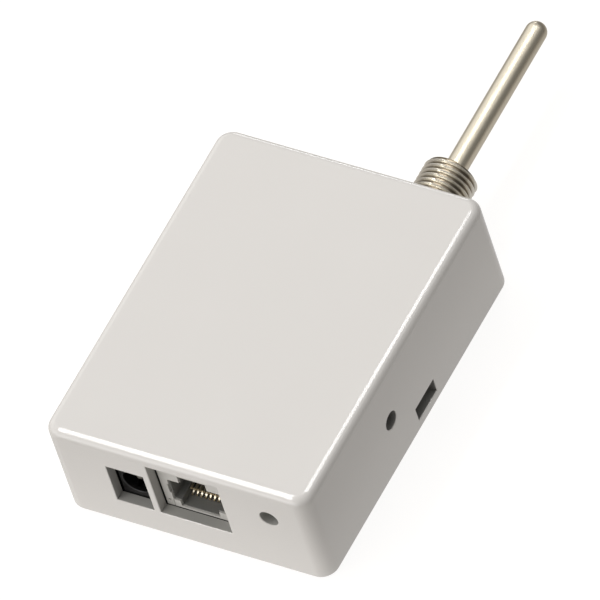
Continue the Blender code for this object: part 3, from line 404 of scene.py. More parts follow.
def worked_metal(name, base, dark, roughness, stretch, pitch, bump, streak=0.5):
    """A bare or plated metal: fine tool marks, stretched as the tool ran, with a slight change of tone."""
    material, tree, surface, place = new_material(name)
    run = add_node(tree, "ShaderNodeMapping", {"Vector": place, "Scale": stretch}).outputs["Vector"]
    marks = add_node(tree, "ShaderNodeTexNoise", {"Vector": run, "Scale": 1 / pitch, "Detail": 4.0,
                                                  "Roughness": 0.6})
    patches = add_node(tree, "ShaderNodeTexNoise", {"Vector": place, "Scale": 1 / (2.857 * MM),
                                                    "Detail": 3.0})
    work_surface(surface, (dark, base), patches, (roughness * (1 - streak / 3), roughness * (1 + streak / 3)),
                 marks, marks, bump, 0.01 * MM)
    set_surface(surface, Metallic=1.0)
    return material


def painted_shade_in_roots(material, root, unshaded, root_shade):
    """Darken a thread toward its roots: painted shade in the hollows between the crests."""
    tree = material.node_tree
    base = tree.nodes["Principled BSDF"].inputs["Base Color"]
    place = add_node(tree, "ShaderNodeTexCoord", {}).outputs["Object"]
    flat = add_node(tree, "ShaderNodeVectorMath", {0: place, 1: (1.0, 0.0, 1.0)}, operation="MULTIPLY")
    radius = add_node(tree, "ShaderNodeVectorMath", {0: flat.outputs["Vector"], 1: (PROBE_X, 0.0, PROBE_Z)},
                      operation="DISTANCE").outputs["Value"]
    depth = add_node(tree, "ShaderNodeMapRange", {"Value": radius, "From Min": root, "From Max": unshaded,
                                                  "To Min": 1.0, "To Max": 0.0},
                     interpolation_type="SMOOTHSTEP")
    outside = add_node(tree, "ShaderNodeMath", {0: radius, 1: root - 0.05 * MM}, operation="GREATER_THAN")
    share = add_node(tree, "ShaderNodeMath", {0: depth.outputs["Result"], 1: outside.outputs["Value"]},
                     operation="MULTIPLY")
    tone = add_node(tree, "ShaderNodeMix", {"Factor": share.outputs["Value"], "B": (*root_shade, 1.0),
                                            "A": base.links[0].from_socket}, data_type="RGBA")
    feed(base, tone.outputs["Result"])


def clear_lens(name, base):
    """A cast epoxy lens, smoky and unlit: mostly clear with a soft body."""
    material, tree, surface, place = new_material(name)
    haze = add_node(tree, "ShaderNodeTexNoise", {"Vector": place, "Scale": 1 / (1.111 * MM), "Detail": 2.0})
    body = add_node(tree, "ShaderNodeMix", {"Factor": haze.outputs["Fac"], "B": (*base, 1.0),
                                            "A": (*[c * 0.8 for c in base], 1.0)}, data_type="RGBA")
    set_surface(surface, Base_Color=body.outputs["Result"], IOR=1.55, Roughness=0.18,
                Transmission_Weight=0.35)
    return material


def board_lacquer():
    """Solder lacquer on glass laminate: black, glossy, with the copper showing faintly."""
    material, tree, surface, place = new_material("Black solder lacquer on glass laminate")
    first, second, gaps = ((*linear(code), 1.0) for code in ("#161918", "#1B1F1D", "#101211"))
    copper = add_node(tree, "ShaderNodeTexBrick",
                      {"Vector": place, "Scale": 1 / (3.846 * MM), "Color1": first, "Color2": second,
                       "Mortar": gaps, "Mortar Size": 0.03})
    set_surface(surface, Base_Color=copper.outputs["Color"], IOR=1.5, Roughness=0.3)
    return material


def past_round(parts, radius):
    """How far a point lies outside a round, from how far it lies past the round's centre on two axes."""
    return math.hypot(*(max(part, 0.0) for part in parts)) + min(max(parts), 0.0) - radius


class SENSOR_OT_cover(bpy.types.Operator):
    """Model the moulded cover with its round edges and cut-outs"""
    bl_idname = "sensor.cover"
    bl_label = "Cover"

    def execute(self, context):
        size = context.scene.sensor_case
        # The roof stays just under the solid's, so that its bevels lie inside the solid's box.
        low, high = COVER_LOW, COVER_HIGH - Vector((0.0, 0.0, 0.01 * MM))
        cover = block("case_cover", low, high)
        round_edges(cover, upright, size.corner_radius, 16)
        round_edges(cover, lambda e: lies_at(e, 2, high.z), size.roof_fillet, 12)
        round_edges(cover, lambda e: lies_at(e, 2, low.z), size.rim_round, 5)

        hollow = block("hollow", low + Vector((size.wall, size.wall, -OVERRUN)),
                       COVER_HIGH - Vector((size.wall, size.wall, size.wall)))
        round_edges(hollow, upright, size.corner_radius - size.wall, 8)
        cut(cover, hollow)
        for tool in self.port_tools(size, low, high):
            cut(cover, tool)
        for axis, face in ((1, low.y), (0, high.x), (1, high.y)):
            round_edges(cover, lambda e: self.edges_a_port(e, axis, face, low, high, size), size.port_edge, 3)

        # Sprayed paint over the grain: smooth enough that the rounds mirror the lamps as crisp lines.
        paint = moulded("Painted ABS, semi-gloss warm white", size.plastic, roughness=0.10, grain=0.25 * MM,
                        bump=0.02, mottle=0.015, ior=1.54)
        # Painted shade in the openings and inside: a satin grey, greyer and darker than the paint, for the
        # shadow in the cut-outs, and darker still in the right-hand wall's openings.
        grey = moulded("Bare ABS moulding, grey", size.moulding, roughness=0.45, grain=0.25 * MM, bump=0.10)
        dark = moulded("Bare ABS moulding, dark grey", size.shade, roughness=0.45, grain=0.25 * MM, bump=0.10)
        dress(cover, paint, "case", "enclosure_cover")
        cover.data.materials.append(grey)
        cover.data.materials.append(dark)
        # Faces below the skin take the painted shade: grey, and a darker grey in the right-hand wall's
        # openings.
        for slot, inner in ((1, -high.x), (2, high.x - size.wall - OVERRUN)):
            pick(cover, "faces", lambda f: f.calc_center_median().x > inner
                 and self.in_painted_shade(f.calc_center_median(), low, high, size))
            cover.active_material_index = slot
            bpy.ops.object.material_slot_assign()
            leave_edit()
        return {"FINISHED"}

    @staticmethod
    def in_painted_shade(point, low, high, size):
        """Whether a point lies clearly below the case's outer skin, in a cut-out or inside, where the painted
        shade goes.
        """
        across = (abs(point.x) - high.x + size.corner_radius, abs(point.y) - high.y + size.corner_radius)
        side = past_round(across, size.corner_radius)
        skin = past_round((side + size.roof_fillet, point.z - high.z + size.roof_fillet), size.roof_fillet)
        return skin < -size.shade_start and point.z > low.z + size.rim_round

    @staticmethod
    def edges_a_port(edge, axis, face, low, high, size):
        """Whether an edge is the sharp rim of an opening in one of the upright walls."""
        across = 1 - axis
        inside = all(low[across] + size.corner_radius < v.co[across] < high[across] - size.corner_radius
                     and low.z + size.rim_round * 2 < v.co.z < high.z - size.roof_fillet - 0.1 * MM
                     for v in edge.verts)
        return inside and lies_at(edge, axis, face) and is_corner(edge)

    @staticmethod
    def port_tools(size, low, high):
        """The bodies that cut the ports, the data slot and the round holes."""
        gap = size.port_gap
        through = size.wall + 2 * OVERRUN
        front, right = low.y - OVERRUN, high.x - size.wall - OVERRUN
        ports = [block("port", (start.x - gap, front, BOARD_TOP), (end.x + gap, front + through, end.z + gap))
                 for start, end in ((JACK_LOW, JACK_HIGH), (POWER_LOW, POWER_HIGH))]
        _, data_y, data_z = centre(DATA_LOW, DATA_HIGH)
        slot = block("slot", (right, data_y - size.slot_width / 2, data_z - size.slot_height / 2),
                     (right + through, data_y + size.slot_width / 2, data_z + size.slot_height / 2))
        status_x, _, status_z = centre(STATUS_LOW, STATUS_HIGH)
        _, side_y, side_z = centre(SIDE_LOW, SIDE_HIGH)
        back = high.y - size.wall - OVERRUN
        return [*ports, slot,
                rod("hole", (status_x, front, status_z), "Y", through, size.lamp_hole, 72),
                rod("hole", (right, side_y, side_z), "X", through, size.lamp_hole, 72),
                turned("hole", back, back + through, size.fitting_hole, 96)]


class SENSOR_OT_network_jack(bpy.types.Operator):
    """Model the network jack's housing, the carrier inside it and its eight spring contacts"""
    bl_idname = "sensor.network_jack"
    bl_label = "Network jack"

    def execute(self, context):
        size = context.scene.sensor_jacks
        middle = centre(JACK_LOW, JACK_HIGH)[0]
        face = JACK_LOW[1] - size.seat
        openings = self.openings(size)
        self.housing(size, middle, face, openings)
        self.carrier(size, middle, face, openings)
        self.contacts(size)
        return {"FINISHED"}

    @staticmethod
    def openings(size):
        """The mouth, the contact window below it and the latch slot above it.

        Each has its half width, its lower and upper edge, its share of the mouth's depth, and whether it is
        closed below and above.
        """
        floor = JACK_LOW[2] + size.window_floor
        shoulder = floor + size.window_height
        roof = shoulder + size.mouth_height
        return ((size.mouth_width / 2, shoulder, roof, 1.0, True, True),
                (size.window_width / 2, floor, shoulder + OVERRUN, 1.0, True, False),
                (size.latch_width / 2, roof - OVERRUN, roof + size.latch_height, 0.7, False, True))

    @staticmethod
    def housing(size, middle, face, openings):
        body = block("network_housing", (JACK_LOW[0], face, JACK_LOW[2] - size.seat), JACK_HIGH)
        for half, low, high, share, _, _ in openings:
            cut(body, block("mouth", (middle - half, face - OVERRUN, low),
                            (middle + half, face + size.mouth_depth * share, high)))
        _, shoulder, roof, *_ = openings[0]
        for side in (-1, 1):
            groove = middle + side * size.mouth_width / 2
            groove_end = face + size.mouth_depth * 0.6
            cut(body, block("groove",
                            (groove - size.groove_width / 2, face - OVERRUN, roof - size.groove_foot),
                            (groove + size.groove_width / 2, groove_end, roof - size.groove_top)))
            seam = middle + side * (size.mouth_width / 2 + 0.05 * MM)
            cut(body, block("seam", (seam - size.seam_width / 2, face - OVERRUN, JACK_LOW[2] - OVERRUN),
                            (seam + size.seam_width / 2, face + size.seam_depth, shoulder - 0.02 * MM)))
        round_edges(body, lambda e: lies_at(e, 1, face) and is_corner(e), size.face_round, 3)
        pin_mark = (JACK_LOW[0] + 0.9 * MM, face - OVERRUN, JACK_LOW[2] + 1.6 * MM)
        cut(body, rod("pin_mark", pin_mark, "Y", OVERRUN + size.mark_depth, size.mark_radius, 32))
        # An even light satin with soft, wide highlights.
        plastic = moulded("Moulded PBT, light grey", size.housing, roughness=0.45, grain=0.2 * MM, bump=0.1)
        dress(body, plastic, "jack_plastic", "ethernet_jack_body")

    @staticmethod
    def carrier(size, middle, face, openings):
        """A thin lining, set back in the mouth, that holds the contacts."""
        clear = 0.01 * MM
        front = face + 0.40 * MM
        depth = size.mouth_depth - 0.05 * MM
        insert, *others = [block("network_insert", (middle - half + clear, front, low + clear),
                                 (middle + half - clear, face + depth * share, high - clear))
                           for half, low, high, share, _, _ in openings]
        for other in others:
            fuse(insert, other)
        for half, low, high, share, closed_below, closed_above in openings:
            cut(insert, block("hollow", (middle - half + size.lining, face, low + closed_below * size.lining),
                              (middle + half - size.lining, face + depth * share - size.lining,
                               high - closed_above * size.lining)))
        # A darker grey, partly the carrier's own and partly painted shade, that lets the mouth fall away into
        # shadow behind the bright contacts.
        dark = moulded("Moulded PBT, dark grey", size.insert, roughness=0.4, grain=0.2 * MM, bump=0.1)
        dress(insert, dark, "black_plastic")

    @staticmethod
    def contacts(size):
        """One wire starts as a block, is spun round its bend and extruded up to the rear, then copied."""
        low, high = CONTACT_LOW, CONTACT_HIGH
        thick = size.contact_thickness
        bend_y = JACK_LOW[1] + 1.9 * MM + size.contact_bend
        tail = JACK_LOW[1] + 10.5 * MM
        wire = block("network_contact_1", (low.x, bend_y, low.z), (high.x, tail, low.z + thick))
        pick(wire, "faces", lambda f: f.normal.y < -0.9)
        bpy.ops.mesh.spin(steps=14, angle=-(math.pi - size.contact_rise), axis=(1, 0, 0),
                          center=(low.x, bend_y, low.z + thick / 2 + size.contact_bend))
        slope = Vector((0, math.cos(size.contact_rise), math.sin(size.contact_rise)))
        bpy.ops.mesh.extrude_region_move(TRANSFORM_OT_translate={"value": slope * size.contact_reach})
        leave_edit()

        def runs_along(edge):
            a, b = (vert.co for vert in edge.verts)
            return is_corner(edge, math.radians(60)) and abs(a.x - b.x) < 1e-7

        round_edges(wire, runs_along, 0.06 * MM, 2)
        # Gold over bronze: a pale warm metal, with faint draw marks along the wire.
        gold = worked_metal("Gold plated spring bronze", size.gold, [c * 0.9 for c in size.gold],
                            roughness=0.30, stretch=(1.0, 0.2, 0.2), pitch=0.1 * MM, bump=0.05)
        shifts = [(number * size.contact_pitch, 0, 0) for number in range(1, 8)]
        dress_row(wire, "network_contact", shifts, gold, "gold_contact", "ethernet_contact")


class SENSOR_OT_power_jack(bpy.types.Operator):
    """Model the power jack's housing and its centre pin"""
    bl_idname = "sensor.power_jack"
    bl_label = "Power jack"

    def execute(self, context):
        size = context.scene.sensor_jacks
        face = POWER_LOW[1] - size.seat
        axis_x, _, axis_z = centre(PIN_LOW, PIN_HIGH)
        body = block("power_housing", (POWER_LOW[0], face, POWER_LOW[2] - size.seat), POWER_HIGH)
        cut(body, rod("socket", (axis_x, face - OVERRUN, axis_z), "Y", size.socket_depth + OVERRUN,
                      size.socket_radius, 96))
        cut(body, block("spring_slot", (SPRING_LOW[0] - GAP, face + OVERRUN, SPRING_LOW[2] - GAP),
                        (SPRING_HIGH[0] + GAP, face + size.socket_depth, axis_z - size.socket_radius / 2)))
        round_edges(body, lambda e: lies_at(e, 1, face) and is_corner(e), size.socket_round, 3)
        # Black moulding, which shows mostly by the soft light along its edges.
        black = moulded("Moulded PBT, black", size.power_housing, roughness=0.35, grain=0.2 * MM, bump=0.1)
        dress(body, black, "black_plastic", "power_jack_body")

        radius = (PIN_HIGH[0] - PIN_LOW[0]) / 2
        pin = rod("power_pin", (axis_x, PIN_LOW[1], axis_z), "Y", PIN_HIGH[1] - PIN_LOW[1], radius, 48)
        round_edges(pin, lambda e: lies_at(e, 1, PIN_LOW[1]), radius * 0.92, 8)
        # Dull nickel, darkened as painted shade so that the pin stays dim inside the socket.
        metal = worked_metal("Nickel plated contact pin", linear("#8F8C85"), linear("#7C7972"),
                             roughness=0.4, stretch=(1.0, 0.3, 1.0), pitch=0.1 * MM, bump=0.05)
        dress(pin, metal, "plated", "power_jack_pin", angle=40)
        return {"FINISHED"}


class SENSOR_OT_lamps(bpy.types.Operator):
    """Model the two lamp lenses behind the round holes"""
    bl_idname = "sensor.lamps"
    bl_label = "Lamps"

    def execute(self, context):
        size = context.scene.sensor_case
        self.lens(size, "status_lamp", 1, STATUS_LOW, STATUS_HIGH, STATUS_LOW.y,
                  clear_lens("Cast epoxy lens, clear grey", size.status_lens))
        self.lens(size, "side_lamp", 0, SIDE_LOW, SIDE_HIGH, SIDE_HIGH.x,
                  clear_lens("Cast epoxy lens, smoked", size.side_lens))
        return {"FINISHED"}

    @staticmethod
    def lens(size, node, axis, low, high, tip, material):
        """A round lens along X (0) or Y (1), with its dome at the tip and its flange at the other end."""
        middle = centre(low, high)
        start = [low[i] if i == axis else middle[i] for i in range(3)]
        foot = list(start)
        if tip == low[axis]:
            foot[axis] = high[axis] - size.lens_flange
        across = (axis + 2) % 3
        body = rod(node + "_lens", start, "XY"[axis], high[axis] - low[axis], size.lens_radius)
        flange = rod("flange", foot, "XY"[axis], size.lens_flange, (high[across] - low[across]) / 2)
        round_edges(body, lambda e: lies_at(e, axis, tip), size.lens_radius * 0.97, 12)
        fuse(body, flange)
        dress(body, material, "lamp_lens", node, angle=40)


class SENSOR_OT_fitting(bpy.types.Operator):
    """Model the threaded fitting and its gasket"""
    bl_idname = "sensor.fitting"
    bl_label = "Threaded fitting"

    def execute(self, context):
        size = context.scene.sensor_probe
        tail, nose = FITTING_LOW[1], FITTING_HIGH[1]
        collar_back = GASKET_HIGH[1] + GAP
        collar_front = collar_back + size.collar_thickness
        crest = size.crest_radius
        root = crest - size.thread_depth

        core = turned("threaded_fitting", tail, nose, root)
        fuse(core, turned("shank", tail, collar_back + 0.1 * MM, crest))
        fuse(core, self.ridge(size, collar_front - 0.4 * MM, nose + size.thread_pitch, root, crest))
        spare = 0.1 * MM
        blank = turned("blank", tail - OVERRUN, nose, crest + spare)
        round_edges(blank, lambda e: lies_at(e, 1, nose), size.nose_chamfer + spare, 1)
        combine(core, blank, "INTERSECT")
        collar = turned("collar", collar_back, collar_front, (FITTING_HIGH[0] - FITTING_LOW[0]) / 2)
        round_edges(collar, lambda e: lies_at(e, 1, collar_front) or lies_at(e, 1, collar_back), 0.25 * MM, 3)
        fuse(core, collar)
        cut(core, turned("bore", tail - OVERRUN, nose + OVERRUN, size.probe_radius + GAP, 96))
        cut(core, turned("countersink", nose - 0.35 * MM, nose + 0.05 * MM, size.probe_radius + 0.28 * MM, 96,
                         size.probe_radius + 0.75 * MM))
        # Turned and plated brass: a warm soft mirror, with faint marks round the axis.
        nickel = worked_metal("Turned brass, nickel plated", size.nickel, [c * 0.94 for c in size.nickel],
                              roughness=0.24, stretch=(0.3, 4.0, 0.3), pitch=0.5 * MM, bump=0.01, streak=0.2)
        # Painted shade: the colour darkens toward the thread's roots.
        painted_shade_in_roots(nickel, root, crest - size.thread_depth * 0.3, size.root_shade)
        dress(core, nickel, "fitting_metal", "probe_fitting", angle=35)

        back, front = GASKET_LOW[1], GASKET_HIGH[1]
        gasket = turned("fitting_seal", back, front, (GASKET_HIGH[0] - GASKET_LOW[0]) / 2)
        round_edges(gasket, lambda e: lies_at(e, 1, back) or lies_at(e, 1, front), 0.3 * MM, 4)
        cut(gasket, turned("bore", back - OVERRUN, front + OVERRUN, crest + 0.25 * MM, 96))
        # Rubber: a dull black edge round the collar.
        rubber = moulded("Moulded nitrile rubber, black", linear("#232323"), roughness=0.75, grain=0.2 * MM,
                         bump=0.4)
        dress(gasket, rubber, "gasket_rubber", "fitting_gasket")
        return {"FINISHED"}

    @staticmethod
    def ridge(size, start, end, root, crest):
        """A section with 60 degree flanks, wound by a Screw modifier and closed at both ends."""
        pitch = size.thread_pitch
        flank = math.radians(60)
        tip = size.crest_round
        bend = [flank * step / 4 for step in range(-4, 5)]
        section = [(crest - tip + tip * math.cos(turn), tip * math.sin(turn)) for turn in bend]
        sunk = root - 0.15 * MM
        foot = section[-1][1] + (section[-1][0] - sunk) / math.tan(flank)
        section = [(sunk, -foot), *section, (sunk, foot)]
        deselect()
        bpy.ops.mesh.primitive_circle_add(vertices=len(section), radius=1.0, fill_type="NOTHING")
        ridge = named("thread_ridge")
        for vert, (radius, rise) in zip(ridge.data.vertices, section):
            vert.co = (radius, 0.0, rise)
        turns = math.ceil((end - start) / pitch)
        apply_modifier(ridge, "SCREW", axis="Z", angle=math.tau, screw_offset=pitch, iterations=turns,
                       steps=96, render_steps=96, use_merge_vertices=False, use_smooth_shade=True)
        pick(ridge, "edges", lambda e: e.is_boundary)
        bpy.ops.mesh.edge_face_add()
        leave_edit()
        pick(ridge, "faces", lambda f: True)
        bpy.ops.mesh.normals_make_consistent(inside=False)
        leave_edit()
        lay_down = Matrix.Rotation(-math.pi / 2, 4, "X")
        ridge.data.transform(Matrix.Translation((PROBE_X, start, PROBE_Z)) @ lay_down)
        return ridge


class SENSOR_OT_probe(bpy.types.Operator):
    """Model the probe's tube with its closed round end and the braze round its foot"""
    bl_idname = "sensor.probe"
    bl_label = "Probe"

    def execute(self, context):
        size = context.scene.sensor_probe
        radius = size.probe_radius
        start, end = SHEATH_LOW[1], SHEATH_HIGH[1]
        nose = FITTING_HIGH[1]
        tube = turned("probe_tube", start, end, radius)
        round_edges(tube, lambda e: lies_at(e, 1, end), radius * 0.985, 20)
        fuse(tube, turned("braze", nose - 0.30 * MM, nose + 0.12 * MM, radius + 0.26 * MM,
                          tip_radius=radius + 0.02 * MM))
        fuse(tube, turned("flange", start, start + 0.8 * MM, (SHEATH_HIGH[0] - SHEATH_LOW[0]) / 2, 96))
        # Drawn tube: a fine satin that draws each highlight out into one long streak.
        steel = worked_metal("Drawn stainless steel tube", size.steel, [c * 0.94 for c in size.steel],
                             roughness=0.34, stretch=(1.0, 0.06, 1.0), pitch=0.12 * MM, bump=0.05)
        dress(tube, steel, "stainless", "probe_sheath", angle=35)
        return {"FINISHED"}


class SENSOR_OT_underside(bpy.types.Operator):
    """Model the four countersunk screws under the case"""
    bl_idname = "sensor.underside"
    bl_label = "Underside"

    def execute(self, context):
        low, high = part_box("base_screw_1")
        x, y, _ = centre(low, high)
        head, shank, point = (high.x - low.x) / 2, 1.0 * MM, 0.3 * MM
        cone, overlap = 1.1 * MM, 0.05 * MM
        screw = rod("case_screw_1", (x, y, low.z), "Z", cone, head, 64, shank)
        round_edges(screw, lambda e: lies_at(e, 2, low.z), 0.1 * MM, 3)
        neck = (x, y, low.z + cone - overlap)
        fuse(screw, rod("shank", neck, "Z", high.z - low.z - cone, shank, 32, point))
        arm, bar, depth = 0.95 * MM, 0.24 * MM, 0.7 * MM
        for wide, deep in ((bar, arm), (arm, bar)):
            cut(screw, block("arm", (x - wide, y - deep, low.z - OVERRUN),
                             (x + wide, y + deep, low.z + depth)))
        # Bright zinc: a light, slightly grainy metal.
        metal = worked_metal("Zinc plated steel screw", linear("#BDBBB4"), linear("#97958E"),
                             roughness=0.32, stretch=(1.0, 1.0, 1.0), pitch=0.3 * MM, bump=0.10)
        shifts = [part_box(f"base_screw_{number}")[0] - low for number in (2, 3, 4)]
        dress_row(screw, "case_screw", shifts, metal, "plated", "base_screw", angle=35)
        return {"FINISHED"}


class SENSOR_OT_kept_nodes(bpy.types.Operator):
    """Give every solid that keeps its own shape a finished material"""
    bl_idname = "sensor.kept_nodes"
    bl_label = "Finishes of the other pieces"

    def execute(self, context):
        case = context.scene.sensor_case
        # The base is bare moulding: the cover's white without its gloss.
        plate = moulded("Moulded ABS, satin warm white, base", case.plastic, roughness=0.5, grain=0.3 * MM,
                        bump=0.2)
        self.finish(plate, ["enclosure_base"])
        self.finish(board_lacquer(), ["circuit_board"])
        # Plated sheet and a drawn can: bright metals, with marks along the way that each was worked.
        nickel = worked_metal("Nickel plated sheet", linear("#C4C2BA"), linear("#A5A39B"),
                              roughness=0.28, stretch=(1.0, 0.3, 1.0), pitch=0.1 * MM, bump=0.06)
        self.finish(nickel, ["data_socket_shell", "power_jack_spring", "crystal", "fitting_washer",
                             "fitting_nut", *(f"board_screw_{number}" for number in range(1, 5))])
        can = worked_metal("Satin aluminium can", linear("#C8C8C6"), linear("#B4B4B2"),
                           roughness=0.35, stretch=(1.0, 1.0, 0.2), pitch=0.1 * MM, bump=0.06)
        self.finish(can, ["filter_capacitor_1", "filter_capacitor_2"])
        # Moulded and fired bodies, from a clear sheen to a dull one. Each row has the colour, the roughness,
        # the grain in millimetres, the strength of its relief and the nodes.
        for name, code, roughness, grain, bump, *nodes in (
                ("Moulded nylon, black", "#1C1C1C", 0.45, 0.2, 0.2,
                 "data_socket_tongue", "status_lamp_holder", "side_lamp_holder"),
                ("Moulded chip resin", "#262626", 0.55, 0.1, 0.3,
                 "network_chip", "microcontroller", "voltage_regulator"),
                ("Pressed ferrite", "#3C3C3E", 0.7, 0.15, 0.5, "power_inductor"),
                ("Moulded nylon, cream", "#E2DAC6", 0.5, 0.2, 0.15, "probe_header", "probe_plug"),
                ("Glazed sensing element", "#8C8880", 0.3, 0.2, 0.05, "sensor_element"),
                ("Wire insulation, red", "#A92A24", 0.45, 0.2, 0.05, "sensor_wire_red"),
                ("Wire insulation, white", "#DCDCD8", 0.45, 0.2, 0.05, "sensor_wire_white")):
            self.finish(moulded(name, linear(code), roughness, grain * MM, bump), nodes)
        return {"FINISHED"}

    @staticmethod
    def finish(material, nodes):
        for node in nodes:
            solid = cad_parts[node]
            solid.data.materials.clear()
            solid.data.materials.append(material)


class SENSOR_OT_stage(bpy.types.Operator):
    """Set the floor, the soft studio light and the camera"""
    bl_idname = "sensor.stage"
    bl_label = "Stage"

    def execute(self, context):
        scene = context.scene
        size = scene.sensor_stage
        self.floor(size)
        self.room(scene, size)
        self.lamp("front_strip", (-0.437, -0.108, 0.893), (0.0, 1.0, 0.07), (2.06, 0.16), size.front_strip)
        self.lamp("back_strip", (-0.430, 0.885, 0.160), (1.0, 0.0, 0.07), (0.30, 0.36), size.back_strip)
        self.lamp("side_strip", (-0.060, 0.460, 0.886), (1.0, 0.0, 0.07), (1.17, 0.16), size.side_strip)
        self.lamp("side_glow", (0.417, 0.460, 0.784), (1.0, 0.0, -0.53), (1.00, 0.30), size.side_glow)
        self.camera(scene, size)
        scene.view_settings.view_transform = "Standard"
        return {"FINISHED"}

    @staticmethod
    def floor(size):
        """A table of matte paper, which glows softly near the object and is brighter to the camera."""
        deselect()
        bpy.ops.mesh.primitive_plane_add(size=12.0, location=(0, 0, -0.02 * MM))
        floor = place_in_mesh(named("studio_floor"))
        material, tree, surface, place = new_material("Matte studio paper")
        fibre = add_node(tree, "ShaderNodeTexNoise", {"Vector": place, "Scale": 1 / (25 * MM), "Detail": 4.0})
        pale = size.floor_tone
        tone = add_node(tree, "ShaderNodeMix", {"Factor": fibre.outputs["Fac"], "B": (*pale, 1.0),
                                                "A": (*[c * 0.99 for c in pale], 1.0)}, data_type="RGBA")
        # The glow reaches further along the case, which is longer than it is wide.
        drawn = add_node(tree, "ShaderNodeVectorMath", {0: place, 1: (1.0, 0.7, 1.0)}, operation="MULTIPLY")
        away = add_node(tree, "ShaderNodeVectorMath", {0: drawn.outputs["Vector"], 1: (0.0, 10 * MM, 0.0)},
                        operation="DISTANCE")
        glow = add_node(tree, "ShaderNodeMapRange",
                        {"Value": away.outputs["Value"], "From Min": size.glow_reach * 0.4,
                         "From Max": size.glow_reach, "To Min": size.floor_glow, "To Max": 0.0},
                        interpolation_type="SMOOTHSTEP")
        path = add_node(tree, "ShaderNodeLightPath", {})
        light = add_node(tree, "ShaderNodeMix", {"Factor": path.outputs["Is Camera Ray"],
                                                 "B": size.floor_lift, "A": glow.outputs["Result"]},
                         data_type="FLOAT")
        set_surface(surface, Base_Color=tone.outputs["Result"], Roughness=0.9, Specular_IOR_Level=0.1,
                    Emission_Color=(1.0, 1.0, 1.0, 1.0), Emission_Strength=light.outputs["Result"])
        floor.data.materials.append(material)

    @staticmethod
    def room(scene, size):
        """A dim room with a pale ceiling and broad pale walls before the object and to its right and left.

        What the camera sees of it directly is plain white.
        """
        world = bpy.data.worlds.new("Studio room")
        scene.world = world
        world.use_nodes = True
        tree = world.node_tree
        outward = add_node(tree, "ShaderNodeTexCoord", {}).outputs["Generated"]
        total = size.room_light
        for toward, power, strength in (((-0.41, -0.91, 0.06), 5.0, size.front_wall),
                                        ((0.82, -0.56, 0.10), 2.0, size.right_wall),
                                        ((-0.74, 0.46, 0.49), 8.0, size.left_wall),
                                        ((0.10, 0.35, 0.93), 5.0, size.ceiling)):
            lobe = add_node(tree, "ShaderNodeVectorMath", {0: outward, 1: toward}, operation="DOT_PRODUCT")
            for operation, number in (("MAXIMUM", 0.0), ("POWER", power)):
                lobe = add_node(tree, "ShaderNodeMath", {0: lobe.outputs["Value"], 1: number},
                                operation=operation)
            total = add_node(tree, "ShaderNodeMath", {0: lobe.outputs["Value"], 1: strength, 2: total},
                             operation="MULTIPLY_ADD").outputs["Value"]
        path = add_node(tree, "ShaderNodeLightPath", {})
        seen = add_node(tree, "ShaderNodeMix", {"Factor": path.outputs["Is Camera Ray"], "B": 1.0,
                                                "A": total}, data_type="FLOAT")
        set_surface(tree.nodes["Background"], Color=(1.0, 1.0, 1.0, 1.0), Strength=seen.outputs["Result"])

    @staticmethod
    def lamp(name, toward, along, size, radiance, distance=2.0):
        """A strip lamp at a distance from the case's middle, with its first side along a direction."""
        data = bpy.data.lights.new(name, "AREA")
        data.shape = "RECTANGLE"
        data.size, data.size_y = size
        data.energy = radiance * math.pi * size[0] * size[1]
        lamp = bpy.data.objects.new(name, data)
        back = Vector(toward).normalized()
        side = Vector(along)
        side = (side - back * side.dot(back)).normalized()
        turn = Matrix((side, back.cross(side), back)).transposed().to_4x4()
        case_middle = Vector((0, 0, 13 * MM))
        lamp.matrix_world = Matrix.Translation(case_middle + back * distance) @ turn
        bpy.context.collection.objects.link(lamp)

    @staticmethod
    def camera(scene, size):
        data = bpy.data.cameras.new("camera")
        data.lens = size.lens
        data.clip_end = 20.0
        camera = bpy.data.objects.new("camera", data)
        look = (Matrix.Rotation(size.azimuth, 4, "Z") @ Matrix.Rotation(math.pi / 2 - size.elevation, 4, "X")
                @ Matrix.Rotation(size.roll, 4, "Z"))
        place = Vector(size.aim) + look @ Vector((0, 0, size.distance))
        camera.matrix_world = Matrix.Translation(place) @ look
        bpy.context.collection.objects.link(camera)
        scene.camera = camera


class SENSOR_PT_panel(bpy.types.Panel):
    """Lists the sizes and the pieces"""
    bl_idname = "SENSOR_PT_panel"
    bl_label = "Network temperature sensor"
    bl_space_type = "VIEW_3D"
    bl_region_type = "UI"
    bl_category = "Sensor"

    def draw(self, context):
        layout = self.layout
        for name in GROUPS:
            layout.label(text=name.removeprefix("sensor_").title())
            settings = getattr(context.scene, name)
            for key in settings.bl_rna.properties.keys():
                if key not in ("rna_type", "name"):
                    layout.prop(settings, key)
        for operator in PIECES:
            layout.operator(operator.bl_idname)


GROUPS = {"sensor_case": CaseSettings, "sensor_jacks": JackSettings, "sensor_probe": ProbeSettings,
          "sensor_stage": StageSettings}
PIECES = (SENSOR_OT_cover, SENSOR_OT_network_jack, SENSOR_OT_power_jack, SENSOR_OT_lamps, SENSOR_OT_fitting,
          SENSOR_OT_probe, SENSOR_OT_underside, SENSOR_OT_kept_nodes, SENSOR_OT_stage)


def register():
    for group in GROUPS.values():
        bpy.utils.register_class(group)
    for name, group in GROUPS.items():
        setattr(bpy.types.Scene, name, bpy.props.PointerProperty(type=group))
    for operator in PIECES:
        bpy.utils.register_class(operator)
    bpy.utils.register_class(SENSOR_PT_panel)


def unregister():
    bpy.utils.unregister_class(SENSOR_PT_panel)
    for operator in reversed(PIECES):
        bpy.utils.unregister_class(operator)
    for name in GROUPS:
        delattr(bpy.types.Scene, name)
    for group in reversed(list(GROUPS.values())):
        bpy.utils.unregister_class(group)


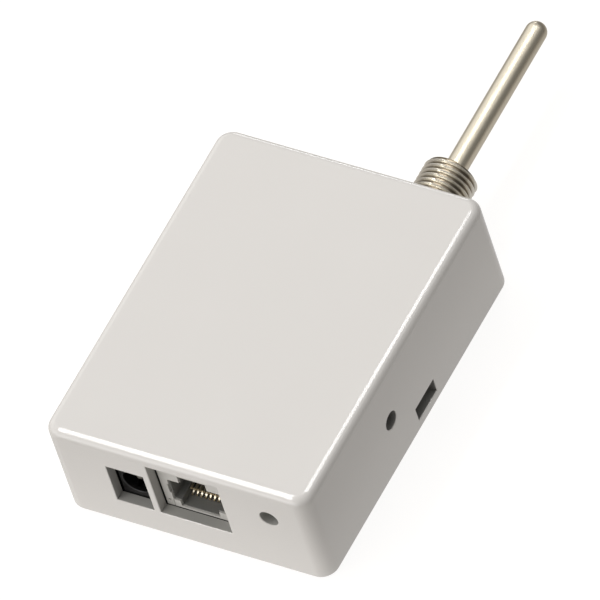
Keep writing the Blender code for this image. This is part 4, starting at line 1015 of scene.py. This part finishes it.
def main():
    register()
    bpy.ops.sensor.cover()
    bpy.ops.sensor.network_jack()
    bpy.ops.sensor.power_jack()
    bpy.ops.sensor.lamps()
    bpy.ops.sensor.fitting()
    bpy.ops.sensor.probe()
    bpy.ops.sensor.underside()
    bpy.ops.sensor.kept_nodes()
    bpy.ops.sensor.stage()


if __name__ == "__main__":
    main()
